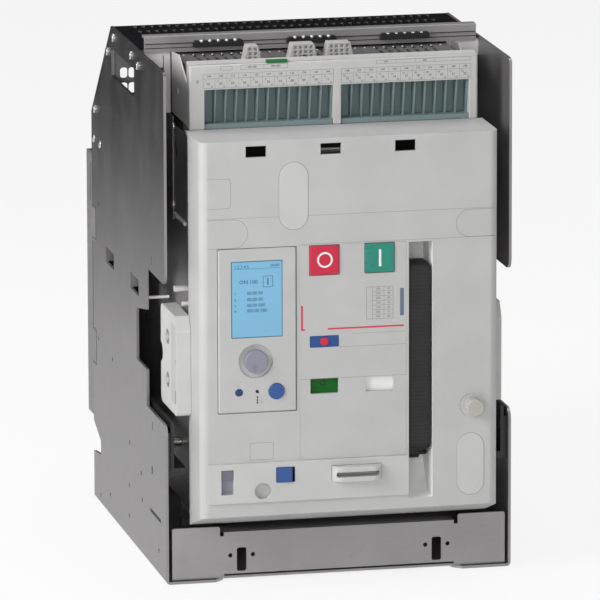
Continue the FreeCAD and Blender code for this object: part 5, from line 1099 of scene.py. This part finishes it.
# %% Slots, tab gaps and rear rivets
PLATE_FACE = 161.0
PLATE_SLOTS = (box_loop(24.0, 73.0, 52.0, 55.4), box_loop(61.0, 65.5, 89.3, 96.6))
TAB_GAPS = (
    (346.0, 348.9, 167.0, 253.0), (333.0, 348.9, 165.4, 167.0), (331.0, 334.0, 134.4, 167.0),
    (331.0, 348.9, 132.8, 134.4), (331.0, 348.9, 284.6, 286.0), (329.0, 332.0, 254.8, 286.0),
    (329.0, 348.9, 253.2, 254.8))


def side_mark(form, side, face, proud, outline, holes=()):
    """A thin sheet on a face that looks sideways, let a tenth of a millimetre into it."""
    add_sheet(form, outline, holes, "YZ", side * (face + proud), side * (face - 0.1))


slots, tab_gaps, rivets = bmesh.new(), bmesh.new(), bmesh.new()
for side in SIDES:
    for outline in PLATE_SLOTS:
        # Painted shade: each slot and slit is a black sheet on the face.
        side_mark(slots, side, PLATE_FACE, 0.04, outline)
    for gap in TAB_GAPS:
        side_mark(tab_gaps, side, PLATE_FACE, 0.05, box_loop(*gap))
    for y in (307.3, 338.0):
        dome(rivets, at(side * PLATE_FACE, y, 350.5), 4.0, 1.6, CROSSWAYS)
finished("plate_slot_shadows", slots, "black_ink", "chassis")
finished("tab_gaps", tab_gaps, "gap_shadow", "chassis")
finished("rear_heads", rivets, "rivet_steel", "chassis")
print("plate marks made")

# %% [markdown]
# Each grip has a shallow channel with a small hole and a slit in it, and a recess round each of
# its two screws. Their shade is painted: the channel in a darker grey, the hole and slit as dark
# marks, and each recess as a dark ring, a little wider behind its screw than in front. Off-centre
# circles in one sheet give such a ring without a cut in the grip.

# %% Channels and painted shadows of the grips
GRIP_FACE = 151.0
channels, grip_shadows = bmesh.new(), bmesh.new()
for side in SIDES:
    # Painted shade: a darker channel, dark marks for the hole and slit, and dark rings round the
    # screws.
    side_mark(channels, side, GRIP_FACE, 0.03, box_loop(1.0, 22.0, 166.6, 239.6))
    side_mark(grip_shadows, side, GRIP_FACE, 0.06, circle(2.6, 207.0, 1.4))
    side_mark(grip_shadows, side, GRIP_FACE, 0.06, box_loop(0.6, 3.8, 168.0, 180.0))
    for z in (183.0, 223.0):
        side_mark(grip_shadows, side, GRIP_FACE, 0.05, circle(37.0, z, 7.2),
                  [circle(36.0, z, 4.4)])
finished("grip_channels", channels, "shaded_grip_channel", "breaker")
finished("grip_shadows", grip_shadows, "grey_ink", "breaker")
print("grip marks made")

# %% [markdown]
# ## Camera
# The camera stands where the photographer stood: far away with a long lens, a little left of
# the middle and a little above. Its place and turn come from fitting straight edges of the
# plates and the cover to the picture; guessing them by eye would leave the edges a few pixels
# off.

# %% The photographer's camera
CAMERA_PLACE = (-1.44751, -6.65978, 1.678)
CAMERA_DEGREES = (77.93054, 0.14947, -12.31092)
lens = bpy.data.cameras.new("photographer")
lens.sensor_width = 36.0
lens.lens = 450.0
lens.clip_end = 60.0
camera = bpy.data.objects.new("photographer", lens)
camera.location = CAMERA_PLACE
camera.rotation_euler = [math.radians(angle) for angle in CAMERA_DEGREES]
bpy.context.scene.collection.objects.link(camera)
bpy.context.scene.camera = camera
print("camera", [round(v, 3) for v in camera.location])

# %% [markdown]
# ## The room
# A pale world gives soft light from all sides. Seen directly, it is plain white. In a gloss it
# is pale in front of the object and fades to dark behind it, as a studio does: one flat white
# would make the steel look like paper.

# %% World
WHITE = (1.0, 1.0, 1.0, 1.0)
PALE_GREY = (0.8, 0.8, 0.8, 1.0)
SOFT_STRENGTH, PLAIN_STRENGTH = 0.3, 1.0
scene = bpy.context.scene
scene.view_settings.view_transform = "Standard"
world = bpy.data.worlds.new("studio")
scene.world = world
world.use_nodes = True
sky = world.node_tree
sky.nodes.clear()
ray = add_node(sky, "ShaderNodeLightPath").outputs
direct = add_node(sky, "ShaderNodeMath", {0: ray["Is Camera Ray"], 1: ray["Is Transmission Ray"]},
                  operation="MAXIMUM").outputs[0]
direction = add_node(sky, "ShaderNodeTexCoord").outputs["Generated"]
rearward = add_node(sky, "ShaderNodeSeparateXYZ", {"Vector": direction}).outputs["Y"]
fade = add_node(sky, "ShaderNodeMapRange", {
    "Value": rearward, "From Min": -0.2, "From Max": 0.6, "To Min": 1.0, "To Max": 0.05,
}).outputs["Result"]
soft, plain, in_gloss = [
    add_node(sky, "ShaderNodeBackground", {"Color": colour, "Strength": strength}).outputs[0]
    for colour, strength in ((WHITE, SOFT_STRENGTH), (WHITE, PLAIN_STRENGTH), (PALE_GREY, fade))]
lighting = add_node(sky, "ShaderNodeMixShader", {0: ray["Is Glossy Ray"], 1: soft, 2: in_gloss})
shown = add_node(sky, "ShaderNodeMixShader", {0: direct, 1: lighting.outputs[0], 2: plain})
add_node(sky, "ShaderNodeOutputWorld", {"Surface": shown.outputs[0]})
print(len(sky.nodes), "nodes in the world")

# %% [markdown]
# ## Lamps of the studio
# One large lamp on the left shapes the cover's rounded edge and the left plate, as in the
# photograph. A smaller one stands near the camera and fills the front, and one above keeps the
# upper faces light.

# %% Softboxes
LIT_MIDDLE = Vector((0.0, 0.0, 0.22))


def softbox(name, place, size, power):
    light = bpy.data.lights.new(name, "AREA")
    light.shape = "SQUARE"
    light.size = size
    light.energy = power
    thing = bpy.data.objects.new(name, light)
    thing.location = place
    aim = LIT_MIDDLE - Vector(place)
    thing.rotation_euler = aim.to_track_quat("-Z", "Y").to_euler()
    scene.collection.objects.link(thing)


softbox("key", (-2.5, -1.3, 1.6), 1.6, 68.0)
softbox("fill", (-0.62, -2.87, 0.85), 0.9, 14.0)
softbox("top", (0.2, 0.3, 2.6), 1.8, 22.0)
print("lamps placed")

# %% [markdown]
# ## The floor
# The object stands on a sheet of white paper. Seen directly it is mostly glowing white with the
# object's shadow left in it, so the background stays even. In a gloss it fades out behind the
# object, like the room; that and the shade painted into the plates' colour give the plates
# their run from light to dark.

# %% Paper floor
PAPER_WHITE = (0.93, 0.93, 0.93, 1.0)
GLOW_SHARE = 0.84
floor_mesh = bpy.data.meshes.new("studio_floor")
paper_sheet = bmesh.new()
bmesh.ops.create_grid(paper_sheet, x_segments=1, y_segments=1, size=9.0)
paper_sheet.to_mesh(floor_mesh)
paper_sheet.free()
floor = bpy.data.objects.new("studio_floor", floor_mesh)
scene.collection.objects.link(floor)
paper = Finish("paper_floor")
paper.set(Base_Color=PAPER_WHITE, Roughness=0.9)
seen = paper.add("ShaderNodeLightPath").outputs
seen_direct = paper.math("MAXIMUM", seen["Is Camera Ray"], seen["Is Transmission Ray"])
distance_fade = paper.spread(paper.one_axis(paper.place, "Y"), 0.8, 2.1, 0.9, 0.03)
glow, far_side = [
    paper.add("ShaderNodeEmission", {"Color": WHITE, "Strength": strength}).outputs[0]
    for strength in (1.0, distance_fade)]
lit_paper = paper.add("ShaderNodeMixShader", {
    0: paper.math("MULTIPLY", seen_direct, GLOW_SHARE), 1: paper.shader.outputs[0], 2: glow})
floor_look = paper.add("ShaderNodeMixShader", {
    0: seen["Is Glossy Ray"], 1: lit_paper.outputs[0], 2: far_side})
connect(paper.tree, paper.tree.nodes["Material Output"].inputs["Surface"], floor_look.outputs[0])
floor_mesh.materials.append(paper.material)
print("floor laid")
